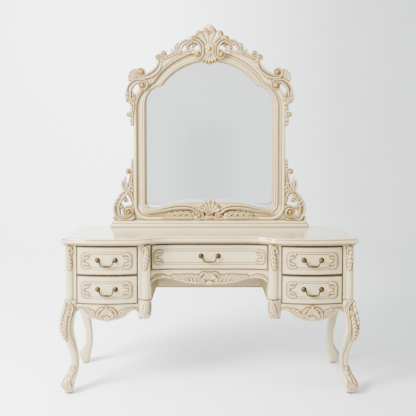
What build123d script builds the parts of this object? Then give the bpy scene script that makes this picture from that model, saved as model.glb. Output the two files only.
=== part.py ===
"""Rococo vanity table with a fixed mirror: five drawers, four cabriole legs, carved ornament.

Millimetres. +Z is up, -Y is the front, and the origin is on the floor under the middle of the
table top. Each physical piece is written to parts/NAME.step.
"""

from build123d import *

import math
import os

# ---------------------------------------------------------------- driving dimensions
TOP_HALF_WIDTH = 750.0
TOP_HALF_DEPTH = 260.0
TABLE_HEIGHT = 788.0
TOP_THICKNESS = 27.0
SUB_TOP_THICKNESS = 10.0
SUB_TOP_INSET = 16.0
CASE_TOP = TABLE_HEIGHT - TOP_THICKNESS - SUB_TOP_THICKNESS
CASE_BOTTOM = 440.0
TOP_NOSE_RADIUS = 9.0

FACE_Y = -215.0  # front of the corner posts
POST_BACK_Y = -150.0
BACK_POST_Y = (186.0, 236.0)
OUTER_POST_X = (675.5, 727.0)
INNER_POST_X = (302.0, 361.0)
STILE_WIDTH = 14.0
PILASTER_BULGE = 9.0
INNER_POST_BOTTOM = 388.0
LEG_TOP = 455.0
GLIDE_HEIGHT = 8.0
GLIDE_RADIUS = 17.0

PEDESTAL_X = (OUTER_POST_X[0] + INNER_POST_X[1]) / 2
BOW_DEPTH = 22.0
PANEL = 16.0
BACK_PANEL_Y = (214.0, 226.0)
SIDE_PANEL_X = (700.0, 716.0)
CENTRE_BACK_BOTTOM = 436.0

GAP = 1.5  # between a drawer front and the frame round it
DRAWER_EDGE_Y = -213.0
DRAWER_BACK_Y = -193.0
DRAWER_HEIGHT = 143.5
DRAWER_LEVELS = {"lower": 455.0, "upper": 602.5}
CENTRE_DRAWER_Z = (616.0, 746.0)
CENTRE_FACE_Y = -150.0
CENTRE_END_Y = -170.0
CENTRE_BACK_Y = -130.0
BOX_WALL = 12.0
BOX_BOTTOM = 6.0
BOX_LIFT = 14.0  # from the bottom of a front to the bottom of its box
BOX_HEIGHT = 110.0
BOX_END_Y = 190.0
RUNNER = 13.7

HANDLE_SPAN = 88.0
ROSETTE_RADIUS = 13.0
PIVOT_STANDOFF = 16.0
BALL_RADIUS = 6.5
PIN_RADIUS = 1.5
BORE_RADIUS = 1.55
WIRE_RADIUS = 2.6
EYE_RADIUS = 3.2
BAIL_DROP = 28.0
GRIP_BEADS = ((0, 4.6), (-7, 3.7), (7, 3.7))  # place along the grip, and radius
STUD_RADIUS = 2.0
STUD_HOLE_RADIUS = 2.3

PLINTH_HEIGHT = 39.0
PLINTH_HALF = 566.0
PLINTH_Y = (180.0, 260.0)
MIRROR_BASE = TABLE_HEIGHT + PLINTH_HEIGHT
FRAME_HALF = 431.0
FRAME_Y = (197.0, 232.0)
GLASS_HALF = 357.0
REBATE = 10.0
GLASS_Y = (222.0, 226.0)
BOARD_Y = (226.2, 231.2)
STILE_SPLIT_Z = (960.0, 1490.0)
ORNAMENT_Y = (177.0, 196.8)
CREST_TOP = 1933.0
STRUT_X = 395.0

os.makedirs("parts", exist_ok=True)


def write(name, shape):
    """Writes one named node."""
    export_step(shape, f"parts/{name}.step")


def both_sides(name, shape):
    """Writes the right-hand piece and its mirror image on the left."""
    write(f"{name}_right", shape)
    write(f"{name}_left", mirror(shape, about=Plane.YZ))


def block(x, y, z):
    """A box between pairs of coordinates."""
    size = (abs(x[1] - x[0]), abs(y[1] - y[0]), abs(z[1] - z[0]))
    return Pos(sum(x) / 2, sum(y) / 2, sum(z) / 2) * Box(*size)


def rod(start, direction, radius, length):
    """A cylinder from a start point along a direction."""
    plane = Plane(origin=start, z_dir=direction)
    return extrude(plane * Circle(radius), length)


def upright(face, y):
    """Extrudes a face drawn as (x, z) through a pair of y values."""
    standing = Plane(origin=(0, y[1], 0), x_dir=(1, 0, 0), z_dir=(0, -1, 0)) * face
    return extrude(standing, y[1] - y[0])


def mirrored(points):
    """A right-hand half outline, from the middle outwards, as one left-to-right list."""
    left = [(-x, y) for x, y in reversed(points) if x > 0]
    return left + list(points)


# ---------------------------------------------------------------- table top
TOP_FRONT = [(0, -180), (190, -181), (240, -188), (280, -208), (320, -236), (365, -251), (430, -258),
             (518, -259.9), (600, -256), (690, -242), (750, -234)]
TOP_SIDE = [(750, -234), (737, -180), (740, -60), (750, 90), (746, 190), (738, 260)]


def moved_inwards(points, distance):
    """Offsets a run of points to the left of its direction; its two ends move square to the axes."""
    moved = []
    for i, (x, y) in enumerate(points):
        before = points[max(i - 1, 0)]
        after = points[min(i + 1, len(points) - 1)]
        along = (after[0] - before[0], after[1] - before[1])
        length = math.hypot(*along)
        moved.append((x - along[1] / length * distance, y + along[0] / length * distance))
    return moved


def top_face(inset=0.0):
    """The serpentine plan of the table top, moved inwards by an inset."""
    front = moved_inwards(TOP_FRONT, inset)
    side = moved_inwards(TOP_SIDE, inset)
    corner = (TOP_SIDE[0][0] - inset, TOP_SIDE[0][1] + inset)
    back = (TOP_SIDE[-1][0] - inset, TOP_SIDE[-1][1] - inset)
    front[0] = (0, TOP_FRONT[0][1] + inset)
    front[-1] = side[0] = corner
    side[-1] = back
    left_side = [(-x, y) for x, y in reversed(side)]
    outline = Spline(*mirrored(front)) + Spline(*side) + Line(side[-1], left_side[0]) + Spline(*left_side)
    return make_face(outline)


def table_top():
    board = Pos(0, 0, TABLE_HEIGHT - TOP_THICKNESS) * extrude(top_face(), TOP_THICKNESS)
    rims = board.faces().sort_by(Axis.Z)
    return fillet(rims[-1].edges() + rims[0].edges(), TOP_NOSE_RADIUS)


write("table_top", table_top())
write("sub_top", Pos(0, 0, CASE_TOP) * extrude(top_face(SUB_TOP_INSET), SUB_TOP_THICKNESS))


# ---------------------------------------------------------------- legs and posts
# Height, outer and inner edge of the front leg seen from the front; the side view follows the same curve.
LEG_CURVE = [
    (455, 726, 677), (429, 737, 677), (396, 747, 681), (364, 750, 687), (332, 749, 689), (300, 743, 687),
    (268, 733, 683), (235, 724, 678), (202, 714, 673), (170, 709, 670), (138, 709, 669), (106, 716, 672),
    (76, 732, 678), (56, 743, 683), (38, 746, 687), (20, 738, 691), (8, 731, 694),
]
FRONT_KICK = 1.3  # how much further the front leg swings forward than sideways
FRONT_SPLAY = 20.0  # extra lean forward between the top of the leg and the floor
BACK_KICK = 0.8


def leg_front_y(z, outer, front):
    """The face of a leg towards the front of the table, or towards the wall for a back leg."""
    swing = outer - OUTER_POST_X[1]
    if front:
        return FACE_Y - swing * FRONT_KICK - FRONT_SPLAY * (LEG_TOP - z) / LEG_TOP
    return BACK_POST_Y[1] + swing * BACK_KICK


def cabriole(front):
    """One right-hand cabriole leg below its post: at the front, or at the back and kicking less."""
    sections = []
    for z, outer, inner in LEG_CURVE:
        width = outer - inner
        inwards = 1 if front else -1
        middle_y = leg_front_y(z, outer, front) + inwards * width / 2
        corner = min(width * 0.28, 12)
        sections.append(Pos((outer + inner) / 2, middle_y, z) * RectangleRounded(width, width, corner))
    return loft(sections)


def post_face(x_outer, x_inner):
    """Plan of a front post: a flat stile by the drawers and a bulging pilaster on the other side."""
    groove = x_inner + math.copysign(STILE_WIDTH, x_outer - x_inner)
    middle = (x_outer + groove) / 2
    shoulder = FACE_Y + 2
    outline = (
        Polyline((groove, shoulder), (x_inner, shoulder), (x_inner, POST_BACK_Y), (x_outer, POST_BACK_Y),
                 (x_outer, shoulder))
        + ThreePointArc((x_outer, shoulder), (middle, shoulder - PILASTER_BULGE), (groove, shoulder))
    )
    return make_face(outline)


def front_leg():
    post = Pos(0, 0, LEG_TOP) * extrude(post_face(OUTER_POST_X[1], OUTER_POST_X[0]), CASE_TOP - LEG_TOP)
    return post + cabriole(front=True)


def back_leg():
    post = block(OUTER_POST_X, BACK_POST_Y, (LEG_TOP, CASE_TOP))
    return post + cabriole(front=False)


def inner_post():
    """A post without a leg: it ends below the case in a small tapering knob."""
    post = Pos(0, 0, INNER_POST_BOTTOM) * extrude(post_face(*INNER_POST_X), CASE_TOP - INNER_POST_BOTTOM)
    middle = (sum(INNER_POST_X) / 2, (FACE_Y + POST_BACK_Y) / 2)
    width, depth = INNER_POST_X[1] - INNER_POST_X[0], POST_BACK_Y - FACE_Y
    knob = [Pos(*middle, INNER_POST_BOTTOM) * RectangleRounded(width - 4, depth - 8, 8),
            Pos(*middle, INNER_POST_BOTTOM - 14) * RectangleRounded(width - 26, depth - 30, 8)]
    return post + loft(knob)


def glide(front):
    z, outer, inner = LEG_CURVE[-1]
    inwards = 1 if front else -1
    y = leg_front_y(z, outer, front) + inwards * (outer - inner) / 2
    return Pos((outer + inner) / 2, y, 0) * extrude(Circle(GLIDE_RADIUS), GLIDE_HEIGHT)


both_sides("leg_front", front_leg())
both_sides("leg_back", back_leg())
both_sides("post_inner", inner_post())
glides = [glide(front) for front in (True, False)]
glides += [mirror(pad, about=Plane.YZ) for pad in glides]
write("leg_glides", Compound(glides))


# ---------------------------------------------------------------- case panels and aprons
legs = front_leg() + back_leg()
outer_side = block(SIDE_PANEL_X, (POST_BACK_Y, BACK_POST_Y[0]), (CASE_BOTTOM, CASE_TOP))
both_sides("side_panel_outer", outer_side - legs)
both_sides("side_panel_inner", block((INNER_POST_X[0], INNER_POST_X[0] + PANEL),
                                     (POST_BACK_Y, BACK_PANEL_Y[1]), (CASE_BOTTOM, CASE_TOP)))
both_sides("back_panel", block((INNER_POST_X[0] + PANEL, OUTER_POST_X[0]), BACK_PANEL_Y,
                               (CASE_BOTTOM, CASE_TOP)))
write("back_panel_centre", block((-INNER_POST_X[0], INNER_POST_X[0]), BACK_PANEL_Y,
                                 (CENTRE_BACK_BOTTOM, CASE_TOP)))
both_sides("bottom_panel", block((INNER_POST_X[0] + PANEL, OUTER_POST_X[0]), (POST_BACK_Y, BACK_PANEL_Y[0]),
                                 (CASE_BOTTOM, CASE_BOTTOM + 12)))


def bow_face(half_width, back_y):
    """Plan of a bowed drawer front or apron on the right-hand pedestal."""
    left, right = PEDESTAL_X - half_width, PEDESTAL_X + half_width
    outline = (
        ThreePointArc((left, DRAWER_EDGE_Y), (PEDESTAL_X, DRAWER_EDGE_Y - BOW_DEPTH), (right, DRAWER_EDGE_Y))
        + Polyline((right, DRAWER_EDGE_Y), (right, back_y), (left, back_y), (left, DRAWER_EDGE_Y))
    )
    return make_face(outline)


def centre_face(half_width, back_y):
    """Plan of the middle drawer front or apron, whose ends sweep forward."""
    front = Spline(*mirrored([(0, CENTRE_FACE_Y), (150, CENTRE_FACE_Y), (235, CENTRE_FACE_Y - 5),
                              (half_width, CENTRE_END_Y)]))
    outline = front + Polyline((half_width, CENTRE_END_Y), (half_width, back_y), (-half_width, back_y),
                               (-half_width, CENTRE_END_Y))
    return make_face(outline)


def apron_face(lower_edge, top, middle_x=0.0):
    """An apron seen from the front: a straight top and a carved lower edge."""
    points = [(x + middle_x, z) for x, z in mirrored(lower_edge)]
    first, last = points[0], points[-1]
    return make_face(Spline(*points) + Polyline(last, (last[0], top), (first[0], top), first))


PEDESTAL_APRON = [(0, 368), (45, 376), (85, 388), (120, 414), (145, 419), (157.2, 408)]
CENTRE_APRON = [(0, 536), (45, 541), (105, 545), (160, 557), (200, 568), (240, 573), (275, 568), (300, 550)]
APRON_THICKNESS = 20.0
APRON_TOP_GAP = 3.0


def pedestal_apron():
    half = (OUTER_POST_X[0] - INNER_POST_X[1]) / 2
    top = DRAWER_LEVELS["lower"] - APRON_TOP_GAP
    slab = Pos(0, 0, 300) * extrude(bow_face(half, DRAWER_EDGE_Y + APRON_THICKNESS), 200)
    return slab & upright(apron_face(PEDESTAL_APRON, top, PEDESTAL_X), (-300, -100))


def centre_apron():
    slab = Pos(0, 0, 500) * extrude(centre_face(INNER_POST_X[0] - 2, CENTRE_BACK_Y), 200)
    edge = CENTRE_APRON[:-1] + [(INNER_POST_X[0] - 2, CENTRE_APRON[-1][1])]
    return slab & upright(apron_face(edge, CENTRE_DRAWER_Z[0] - APRON_TOP_GAP), (-300, -100))


both_sides("apron_pedestal", pedestal_apron())
write("apron_centre", centre_apron())
SIDE_RAIL = [(POST_BACK_Y, 398), (-95, 412), (-30, 396), (18, 386), (66, 396), (131, 412), (BACK_POST_Y[0], 398)]


def side_rail():
    """The wavy rail under the outer side panel, between the front and back leg."""
    first, last = SIDE_RAIL[0], SIDE_RAIL[-1]
    outline = Spline(*SIDE_RAIL) + Polyline(last, (last[0], CASE_BOTTOM), (first[0], CASE_BOTTOM), first)
    standing = Plane.YZ * make_face(outline)
    return Pos(SIDE_PANEL_X[0], 0, 0) * extrude(standing, PANEL)


both_sides("side_rail", side_rail() - legs)


# ---------------------------------------------------------------- drawers
def runners():
    """The planks that the drawer boxes slide on, a pair for each drawer."""
    planks = []
    for level in DRAWER_LEVELS.values():
        z = (level, level + RUNNER)
        for x in ((INNER_POST_X[0] + PANEL, INNER_POST_X[0] + 83), (652, SIDE_PANEL_X[0])):
            planks.append(block(x, (POST_BACK_Y, BACK_POST_Y[0] - 1), z))
    planks += [mirror(plank, about=Plane.YZ) for plank in planks]
    for side in (-1, 1):
        z = (CENTRE_DRAWER_Z[0], CENTRE_DRAWER_Z[0] + RUNNER)
        planks.append(block((side * 272, side * INNER_POST_X[0]), (CENTRE_BACK_Y + 2, BACK_POST_Y[0]), z))
    return Compound(planks)


def drawer_box(middle_x, half_width, front_y, low_z, height):
    """Two sides, a back and a bottom, as separate solids behind a drawer front."""
    x0, x1 = middle_x - half_width, middle_x + half_width
    z0, z1 = low_z, low_z + height
    back = (BOX_END_Y - BOX_WALL, BOX_END_Y)
    return Compound([
        block((x0, x0 + BOX_WALL), (front_y, BOX_END_Y), (z0, z1)),
        block((x1 - BOX_WALL, x1), (front_y, BOX_END_Y), (z0, z1)),
        block((x0 + BOX_WALL, x1 - BOX_WALL), back, (z0, z1 - 10)),
        block((x0 + BOX_WALL, x1 - BOX_WALL), (front_y, back[0]), (z0 + 4, z0 + 4 + BOX_BOTTOM)),
    ])


def stud_holes(middle_x, z):
    """The two holes that a handle's studs pass through."""
    return [rod((middle_x + side * HANDLE_SPAN / 2, -300, z), (0, 1, 0), STUD_HOLE_RADIUS, 200)
            for side in (-1, 1)]


def handle_posts(middle_x, face_y, back_y, z):
    """Two rosettes, each with a ball on a stem for the bail, a stud through the front and a nut."""
    posts = []
    for side in (-1, 1):
        x = middle_x + side * HANDLE_SPAN / 2
        ball = Pos(x, face_y - PIVOT_STANDOFF, z) * Sphere(BALL_RADIUS)
        post = (
            rod((x, face_y, z), (0, -1, 0), ROSETTE_RADIUS, 3)
            + rod((x, face_y - 3, z), (0, -1, 0), ROSETTE_RADIUS * 0.6, 3)
            + rod((x, face_y, z), (0, -1, 0), 4, PIVOT_STANDOFF)
            + ball
            + rod((x, face_y, z), (0, 1, 0), STUD_RADIUS, back_y - face_y + 8)
            + rod((x, back_y, z), (0, 1, 0), 5, 4)
        )
        bore = rod((x - 10 * (side + 1) / 2, face_y - PIVOT_STANDOFF, z), (1, 0, 0), BORE_RADIUS, 10)
        posts.append(post - bore)
    return Compound(posts)


def bail(middle_x, pivot_y, z):
    """The hanging handle: a bent wire with a turned grip in the middle and a pin at each end."""
    arm_x = HANDLE_SPAN / 2 - 10
    half_path = [(arm_x, 0), (arm_x - 3, -BAIL_DROP * 0.6), (arm_x - 15, -BAIL_DROP)]
    path = FilletPolyline(*[(-x, drop) for x, drop in half_path], *reversed(half_path), radius=7)
    standing = Plane(origin=(middle_x, pivot_y, z), x_dir=(1, 0, 0), z_dir=(0, -1, 0)) * path
    section = Plane(origin=standing @ 0, z_dir=standing % 0) * Circle(WIRE_RADIUS)
    lying_ball = Rot(0, 90, 0)
    grip = [Pos(middle_x + x, pivot_y, z - BAIL_DROP) * lying_ball * Sphere(radius) for x, radius in GRIP_BEADS]
    eyes = [Pos(middle_x + side * arm_x, pivot_y, z) * lying_ball * Sphere(EYE_RADIUS) for side in (-1, 1)]
    pins = [rod((middle_x + side * arm_x, pivot_y, z), (side, 0, 0), PIN_RADIUS, 9) for side in (-1, 1)]
    return sweep(section, path=standing).fuse(*grip, *eyes, *pins)


def bowed_y(offset):
    """Front surface of a bowed drawer at a distance from the pedestal's middle."""
    half = (OUTER_POST_X[0] - INNER_POST_X[1]) / 2 - GAP
    radius = (half**2 + BOW_DEPTH**2) / (2 * BOW_DEPTH)
    return DRAWER_EDGE_Y - BOW_DEPTH + radius - math.sqrt(radius**2 - offset**2)


write("drawer_runners", runners())
for level, low in DRAWER_LEVELS.items():
    half = (OUTER_POST_X[0] - INNER_POST_X[1]) / 2 - GAP
    handle_z = low + DRAWER_HEIGHT / 2 + 4
    seat_y = bowed_y(HANDLE_SPAN / 2 - ROSETTE_RADIUS)
    front = Pos(0, 0, low) * extrude(bow_face(half, DRAWER_BACK_Y), DRAWER_HEIGHT)
    front -= stud_holes(PEDESTAL_X, handle_z)
    # Each rosette is let into the bowed face, so its seat is flat.
    for side in (-1, 1):
        seat = (PEDESTAL_X + side * HANDLE_SPAN / 2, bowed_y(HANDLE_SPAN / 2 + ROSETTE_RADIUS), handle_z)
        front -= rod(seat, (0, -1, 0), ROSETTE_RADIUS + 0.2, 30)
    rosette_y = bowed_y(HANDLE_SPAN / 2 + ROSETTE_RADIUS)
    both_sides(f"drawer_front_{level}", front)
    both_sides(f"drawer_box_{level}", drawer_box(PEDESTAL_X, 150, DRAWER_BACK_Y, low + BOX_LIFT, BOX_HEIGHT))
    both_sides(f"handle_posts_{level}", handle_posts(PEDESTAL_X, rosette_y, DRAWER_BACK_Y, handle_z))
    both_sides(f"bail_{level}", bail(PEDESTAL_X, rosette_y - PIVOT_STANDOFF, handle_z))

centre_low, centre_high = CENTRE_DRAWER_Z
centre_handle_z = (centre_low + centre_high) / 2 + 4
centre_front = Pos(0, 0, centre_low) * extrude(centre_face(300, CENTRE_BACK_Y), centre_high - centre_low)
write("drawer_front_centre", centre_front - stud_holes(0, centre_handle_z))
write("drawer_box_centre", drawer_box(0, 285, CENTRE_BACK_Y, centre_low + BOX_LIFT, 98))
write("handle_posts_centre", handle_posts(0, CENTRE_FACE_Y, CENTRE_BACK_Y, centre_handle_z))
write("bail_centre", bail(0, CENTRE_FACE_Y - PIVOT_STANDOFF, centre_handle_z))


# ---------------------------------------------------------------- mirror frame and glass
INNER_ARCH = (1397.0, 328.0)  # height of the centre, and radius
INNER_SHOULDER = (259.5, 1491.0, 97.5)  # centre and radius
OUTER_ARCH = (1414.0, 386.0)
OUTER_SHOULDER = (239.3, 1445.0, 191.7)
SILL_WAVE = [(0, 925), (70, 929), (130, 927), (200, 916), (265, 901), (322, 897)]
SILL_CORNER = 30.0
BASE_CORNER = 75.0


def circles_meet(arch, shoulder):
    """The upper point where the arch's circle crosses the shoulder's."""
    (arch_z, arch_r), (x, z, r) = arch, shoulder
    dx, dz = x, z - arch_z
    apart = math.hypot(dx, dz)
    along = (arch_r**2 - r**2 + apart**2) / (2 * apart)
    across = math.sqrt(arch_r**2 - along**2)
    ux, uz = dx / apart, dz / apart
    return max(((along * ux + s * across * uz, arch_z + along * uz - s * across * ux) for s in (-1, 1)),
               key=lambda p: p[1])


def on_circle(middle_x, middle_z, radius, degrees):
    angle = math.radians(degrees)
    return (middle_x + radius * math.cos(angle), middle_z + radius * math.sin(angle))


def shoulder_and_arch(arch, shoulder, side):
    """The curve up one side: a round shoulder, a cusp, then half of the main arch."""
    cusp = circles_meet(arch, shoulder)
    x, z, r = shoulder
    end = math.degrees(math.atan2(cusp[1] - z, cusp[0] - x))
    start = (x + r, z)
    middle = on_circle(x, z, r, end / 2)
    arch_angle = (math.degrees(math.atan2(cusp[1] - arch[0], cusp[0])) + 90) / 2
    arch_middle = on_circle(0, arch[0], arch[1], arch_angle)
    points = [start, middle, cusp, arch_middle, (0, arch[0] + arch[1])]
    a, b, c, d, e = [(side * px, pz) for px, pz in points]
    return ThreePointArc(a, b, c) + ThreePointArc(c, d, e)


def opening_face(grow=0.0):
    """The sight opening of the mirror, made larger by the depth of a rebate."""
    arch = (INNER_ARCH[0], INNER_ARCH[1] + grow)
    shoulder = (INNER_SHOULDER[0], INNER_SHOULDER[1], INNER_SHOULDER[2] + grow)
    half = GLASS_HALF + grow
    wave = [(x, z - grow) for x, z in SILL_WAVE]
    wave[-1] = (half - SILL_CORNER, SILL_WAVE[-1][1] - grow)
    corner_z = wave[-1][1] + SILL_CORNER
    outline = Spline(*mirrored(wave))
    for side in (-1, 1):
        low, high = (side * wave[-1][0], wave[-1][1]), (side * half, corner_z)
        outline += RadiusArc(low, high, -side * SILL_CORNER)
        outline += Line(high, (side * half, shoulder[1]))
        outline += shoulder_and_arch(arch, shoulder, side)
    return make_face(outline)


def frame_face():
    """The outside outline of the mirror frame."""
    outline = Line((-FRAME_HALF + BASE_CORNER, MIRROR_BASE), (FRAME_HALF - BASE_CORNER, MIRROR_BASE))
    for side in (-1, 1):
        low = (side * (FRAME_HALF - BASE_CORNER), MIRROR_BASE)
        high = (side * FRAME_HALF, MIRROR_BASE + BASE_CORNER)
        outline += RadiusArc(low, high, -side * BASE_CORNER)
        outline += Line(high, (side * FRAME_HALF, OUTER_SHOULDER[1]))
        outline += shoulder_and_arch(OUTER_ARCH, OUTER_SHOULDER, side)
    return make_face(outline)


STRUT_SCREW_Z = (900.0, 1150.0, 1400.0)
STRUT_Y = (232.2, 248.2)
SCREW_RADIUS = 2.5


def strut_screws(radius, head=True):
    """Screws through the struts into the back of the frame, or the holes for them."""
    screws = []
    for side in (-1, 1):
        for z in STRUT_SCREW_Z:
            screw = rod((side * STRUT_X, STRUT_Y[1], z), (0, -1, 0), radius, 30)
            if head:
                screw += rod((side * STRUT_X, STRUT_Y[1], z), (0, 1, 0), 5, 2.5)
            screws.append(screw)
    return screws


def mirror_frame():
    front = upright(frame_face() - opening_face(), (FRAME_Y[0], GLASS_Y[0] - 0.2))
    back = upright(frame_face() - opening_face(REBATE), (GLASS_Y[0] - 0.2, FRAME_Y[1]))
    return front + back - strut_screws(SCREW_RADIUS + 0.2, head=False)


frame = mirror_frame()
low_z, high_z = STILE_SPLIT_Z
through = (100, 300)
write("mirror_rail_bottom", frame & block((-600, 600), through, (700, low_z)))
write("mirror_arch", frame & block((-600, 600), through, (high_z, 2000)))
write("mirror_stile_right", frame & block((0, 600), through, (low_z, high_z)))
write("mirror_stile_left", frame & block((-600, 0), through, (low_z, high_z)))
write("mirror_glass", upright(opening_face(REBATE - 1), GLASS_Y))
write("mirror_backboard", upright(opening_face(REBATE - 1), BOARD_Y))

strut = block((STRUT_X - 22, STRUT_X + 22), STRUT_Y, (MIRROR_BASE, 1450))
struts = [piece - strut_screws(SCREW_RADIUS + 0.2, head=False)
          for piece in (strut, mirror(strut, about=Plane.YZ))]
write("mirror_struts", Compound(struts))
write("strut_screws", Compound(strut_screws(SCREW_RADIUS)))

plinth = block((-PLINTH_HALF, PLINTH_HALF), PLINTH_Y, (TABLE_HEIGHT, TABLE_HEIGHT + 22))
plinth += block((-PLINTH_HALF + 24, PLINTH_HALF - 24), (PLINTH_Y[0] + 8, PLINTH_Y[1]),
                (TABLE_HEIGHT + 22, MIRROR_BASE))
write("mirror_plinth", plinth)


# ---------------------------------------------------------------- carved ornament
def ribbon(points, width):
    """A flat band along a smooth line."""
    return trace(Spline(*points), width)


def disc(x, z, radius):
    return Pos(x, z) * Circle(radius)


def ring_points(x, z, radius, start, end, steps=7):
    return [on_circle(x, z, radius, start + (end - start) * i / (steps - 1)) for i in range(steps)]


def crest():
    """The shell over the arch, with a scroll and leaf on each side and a small fan below."""
    hub_z = 1795.0
    lobes = [(90, 92, 46), (55, 84, 30), (125, 84, 30), (28, 72, 27), (152, 72, 27)]
    shape = disc(0, hub_z + 20, 62)
    for angle, reach, radius in lobes:
        x, z = on_circle(0, hub_z, reach, angle)
        shape += disc(x, z, radius)
    shape += disc(0, 1760, 45)
    for side in (-1, 1):
        arm = [(50, 1752), (38, 1790), (52, 1832), (95, 1840), (140, 1812), (190, 1772), (255, 1745)]
        shape += ribbon([(side * x, z) for x, z in arm], 26)
        shape += disc(side * 62, 1758, 26)
    highest = shape.bounding_box().max.Y
    solid = upright(shape, ORNAMENT_Y)
    return Pos(0, 0, CREST_TOP - highest) * solid


def shoulder_scroll():
    """The ear on the right-hand shoulder: a sweeping band, two volutes and a trailing leaf."""
    band = [(280, 1745), (284, 1720), (305, 1680), (340, 1650), (372, 1655)]
    shape = ribbon(band, 24) + disc(388, 1668, 24) + disc(372, 1592, 27)
    shape += ribbon([(372, 1618), (420, 1615), (448, 1575), (446, 1520), (440, 1470), (443, 1425)], 24)
    shape += ribbon([(388, 1660), (420, 1655), (436, 1660)], 46)
    shape += ribbon([(372, 1592), (376, 1630), (388, 1668)], 20)
    return upright(shape, ORNAMENT_Y)


def side_bracket():
    """The pierced scroll that props the right-hand stile on the plinth."""
    shape = disc(461, 866, 36) + disc(463, 1102, 17)
    band = [(461, 836), (505, 850), (524, 900), (515, 950), (480, 1010), (450, 1060), (463, 1102)]
    shape += ribbon(band, 26)
    shape += ribbon([(443, 1150), (444, 1090), (446, 1020), (452, 960), (445, 900)], 18)
    shape += ribbon([(445, 960), (480, 975), (500, 950)], 22)
    shape += ribbon([(450, 835), (500, 835), (530, 840)], 14)
    outside = block((FRAME_HALF + 0.2, 600), (0, 400), (MIRROR_BASE + 0.2, 2000))
    return upright(shape, (FRAME_Y[0], FRAME_Y[0] + 26)) & outside


def sill_shell():
    """The small shell on the bottom rail, between two leafy scrolls."""
    shape = disc(0, 885, 55)
    for side in (-1, 1):
        shape += disc(side * 50, 850, 20)
        arm = [(60, 862), (95, 878), (150, 862), (205, 846), (240, 842)]
        shape += ribbon([(side * x, z) for x, z in arm], 22)
    clear = block((-400, 400), (0, 400), (MIRROR_BASE + 0.2, 2000))
    return upright(shape, ORNAMENT_Y) & clear


write("crest", crest())
both_sides("shoulder_scroll", shoulder_scroll())
both_sides("side_bracket", side_bracket())
write("sill_shell", sill_shell())
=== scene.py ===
"""Looks of a rococo vanity table with a fixed mirror: cream lacquer, brown glaze in hollows, gilt carving.

Sizes are in millimetres in the row frame (+Z up, -Y the front), and in metres once a mesh is made.
Carved pieces are reliefs: a height over a grid, so that the glaze can be worked out from the hollows.
"""

import math

import bpy
import numpy as np
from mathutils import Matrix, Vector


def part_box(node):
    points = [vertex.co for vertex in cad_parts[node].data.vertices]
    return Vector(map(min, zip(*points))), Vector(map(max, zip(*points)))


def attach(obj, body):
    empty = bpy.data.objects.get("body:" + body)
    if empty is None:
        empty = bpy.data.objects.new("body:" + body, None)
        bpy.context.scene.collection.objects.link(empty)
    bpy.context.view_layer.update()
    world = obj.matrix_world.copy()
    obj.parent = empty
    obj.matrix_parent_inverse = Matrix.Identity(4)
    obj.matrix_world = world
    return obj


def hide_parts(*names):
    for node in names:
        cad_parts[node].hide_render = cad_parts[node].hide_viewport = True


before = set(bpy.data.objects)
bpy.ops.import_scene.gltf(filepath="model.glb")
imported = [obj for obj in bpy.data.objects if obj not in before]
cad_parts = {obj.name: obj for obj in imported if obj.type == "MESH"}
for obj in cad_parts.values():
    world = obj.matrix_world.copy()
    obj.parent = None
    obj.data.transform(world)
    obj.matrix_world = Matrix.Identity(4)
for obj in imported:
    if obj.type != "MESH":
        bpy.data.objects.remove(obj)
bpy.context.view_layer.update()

MM = 0.001
TABLE = "table"


# ---------------------------------------------------------------- lines in a plane
def smooth(points, steps=8):
    """A Catmull-Rom line through the points."""
    p = np.array(points, float)
    p = np.vstack([2 * p[0] - p[1], p, 2 * p[-1] - p[-2]])
    t = (np.arange(steps) / steps)[:, None]
    runs = []
    for a, b, c, d in zip(p[:-3], p[1:-2], p[2:-1], p[3:]):
        run = 2 * b + t * (c - a) + t**2 * (2 * a - 5 * b + 4 * c - d) + t**3 * (3 * b - a - 3 * c + d)
        runs.append(run / 2)
    return np.vstack(runs + [p[-2:-1]])


def spiral(x, z, radius, start, turns, eye=0.3, steps=16):
    """A volute's line from its outside to its eye. Degrees; negative turns run clockwise."""
    t = np.linspace(0, 1, int(abs(turns) * steps) + 2)
    angle = np.radians(start + 360 * turns * t)
    reach = radius * (1 - t * (1 - eye))
    return np.column_stack([x + reach * np.cos(angle), z + reach * np.sin(angle)])


def curl(stem, x, z, radius, start, turns, eye=0.3):
    """A stem that runs into a volute."""
    turn = spiral(x, z, radius, start, turns, eye)
    return np.vstack([smooth([*stem, tuple(turn[0])])[:-1], turn])


def arc(x, z, radius, start, end, steps=24):
    """Points of a round arc, in degrees."""
    angle = np.radians(np.linspace(start, end, steps))
    return np.column_stack([x + radius * np.cos(angle), z + radius * np.sin(angle)])


def smooth_through(at, value, places):
    """A smooth curve through values given at rising places."""
    slope = np.gradient(value, at)
    i = np.clip(np.searchsorted(at, places, side="right") - 1, 0, len(at) - 2)
    run = at[i + 1] - at[i]
    t = (places - at[i]) / run
    return ((2 * t**3 - 3 * t**2 + 1) * value[i] + (t**3 - 2 * t**2 + t) * run * slope[i]
            + (3 * t**2 - 2 * t**3) * value[i + 1] + (t**3 - t**2) * run * slope[i + 1])


def resampled(line, count):
    """The same line with evenly spaced points."""
    reach = np.concatenate([[0], np.cumsum(np.hypot(*np.diff(line, axis=0).T))])
    at = np.linspace(0, reach[-1], count)
    return np.column_stack([np.interp(at, reach, line[:, k]) for k in (0, 1)])


def closed(half):
    """A closed outline from its right-hand half, whose two ends lie on the middle line."""
    return np.vstack([half, (half * (-1, 1))[::-1][1:-1]])


def inward(outline, rounds):
    """For each point of a closed outline, the way inwards, evened out with its neighbours in rounds."""
    run = np.roll(outline, -1, axis=0) - np.roll(outline, 1, axis=0)
    run /= np.hypot(*run.T)[:, None]
    way = np.column_stack([-run[:, 1], run[:, 0]])
    for _ in range(rounds):
        way = (np.roll(way, 1, axis=0) + 2 * way + np.roll(way, -1, axis=0)) / 4
    return way


def on_side(side):
    """A function that puts points given for the right-hand side on the side asked for, 1 or -1."""
    return lambda *points: [(side * x, z) for x, z in points]


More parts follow.
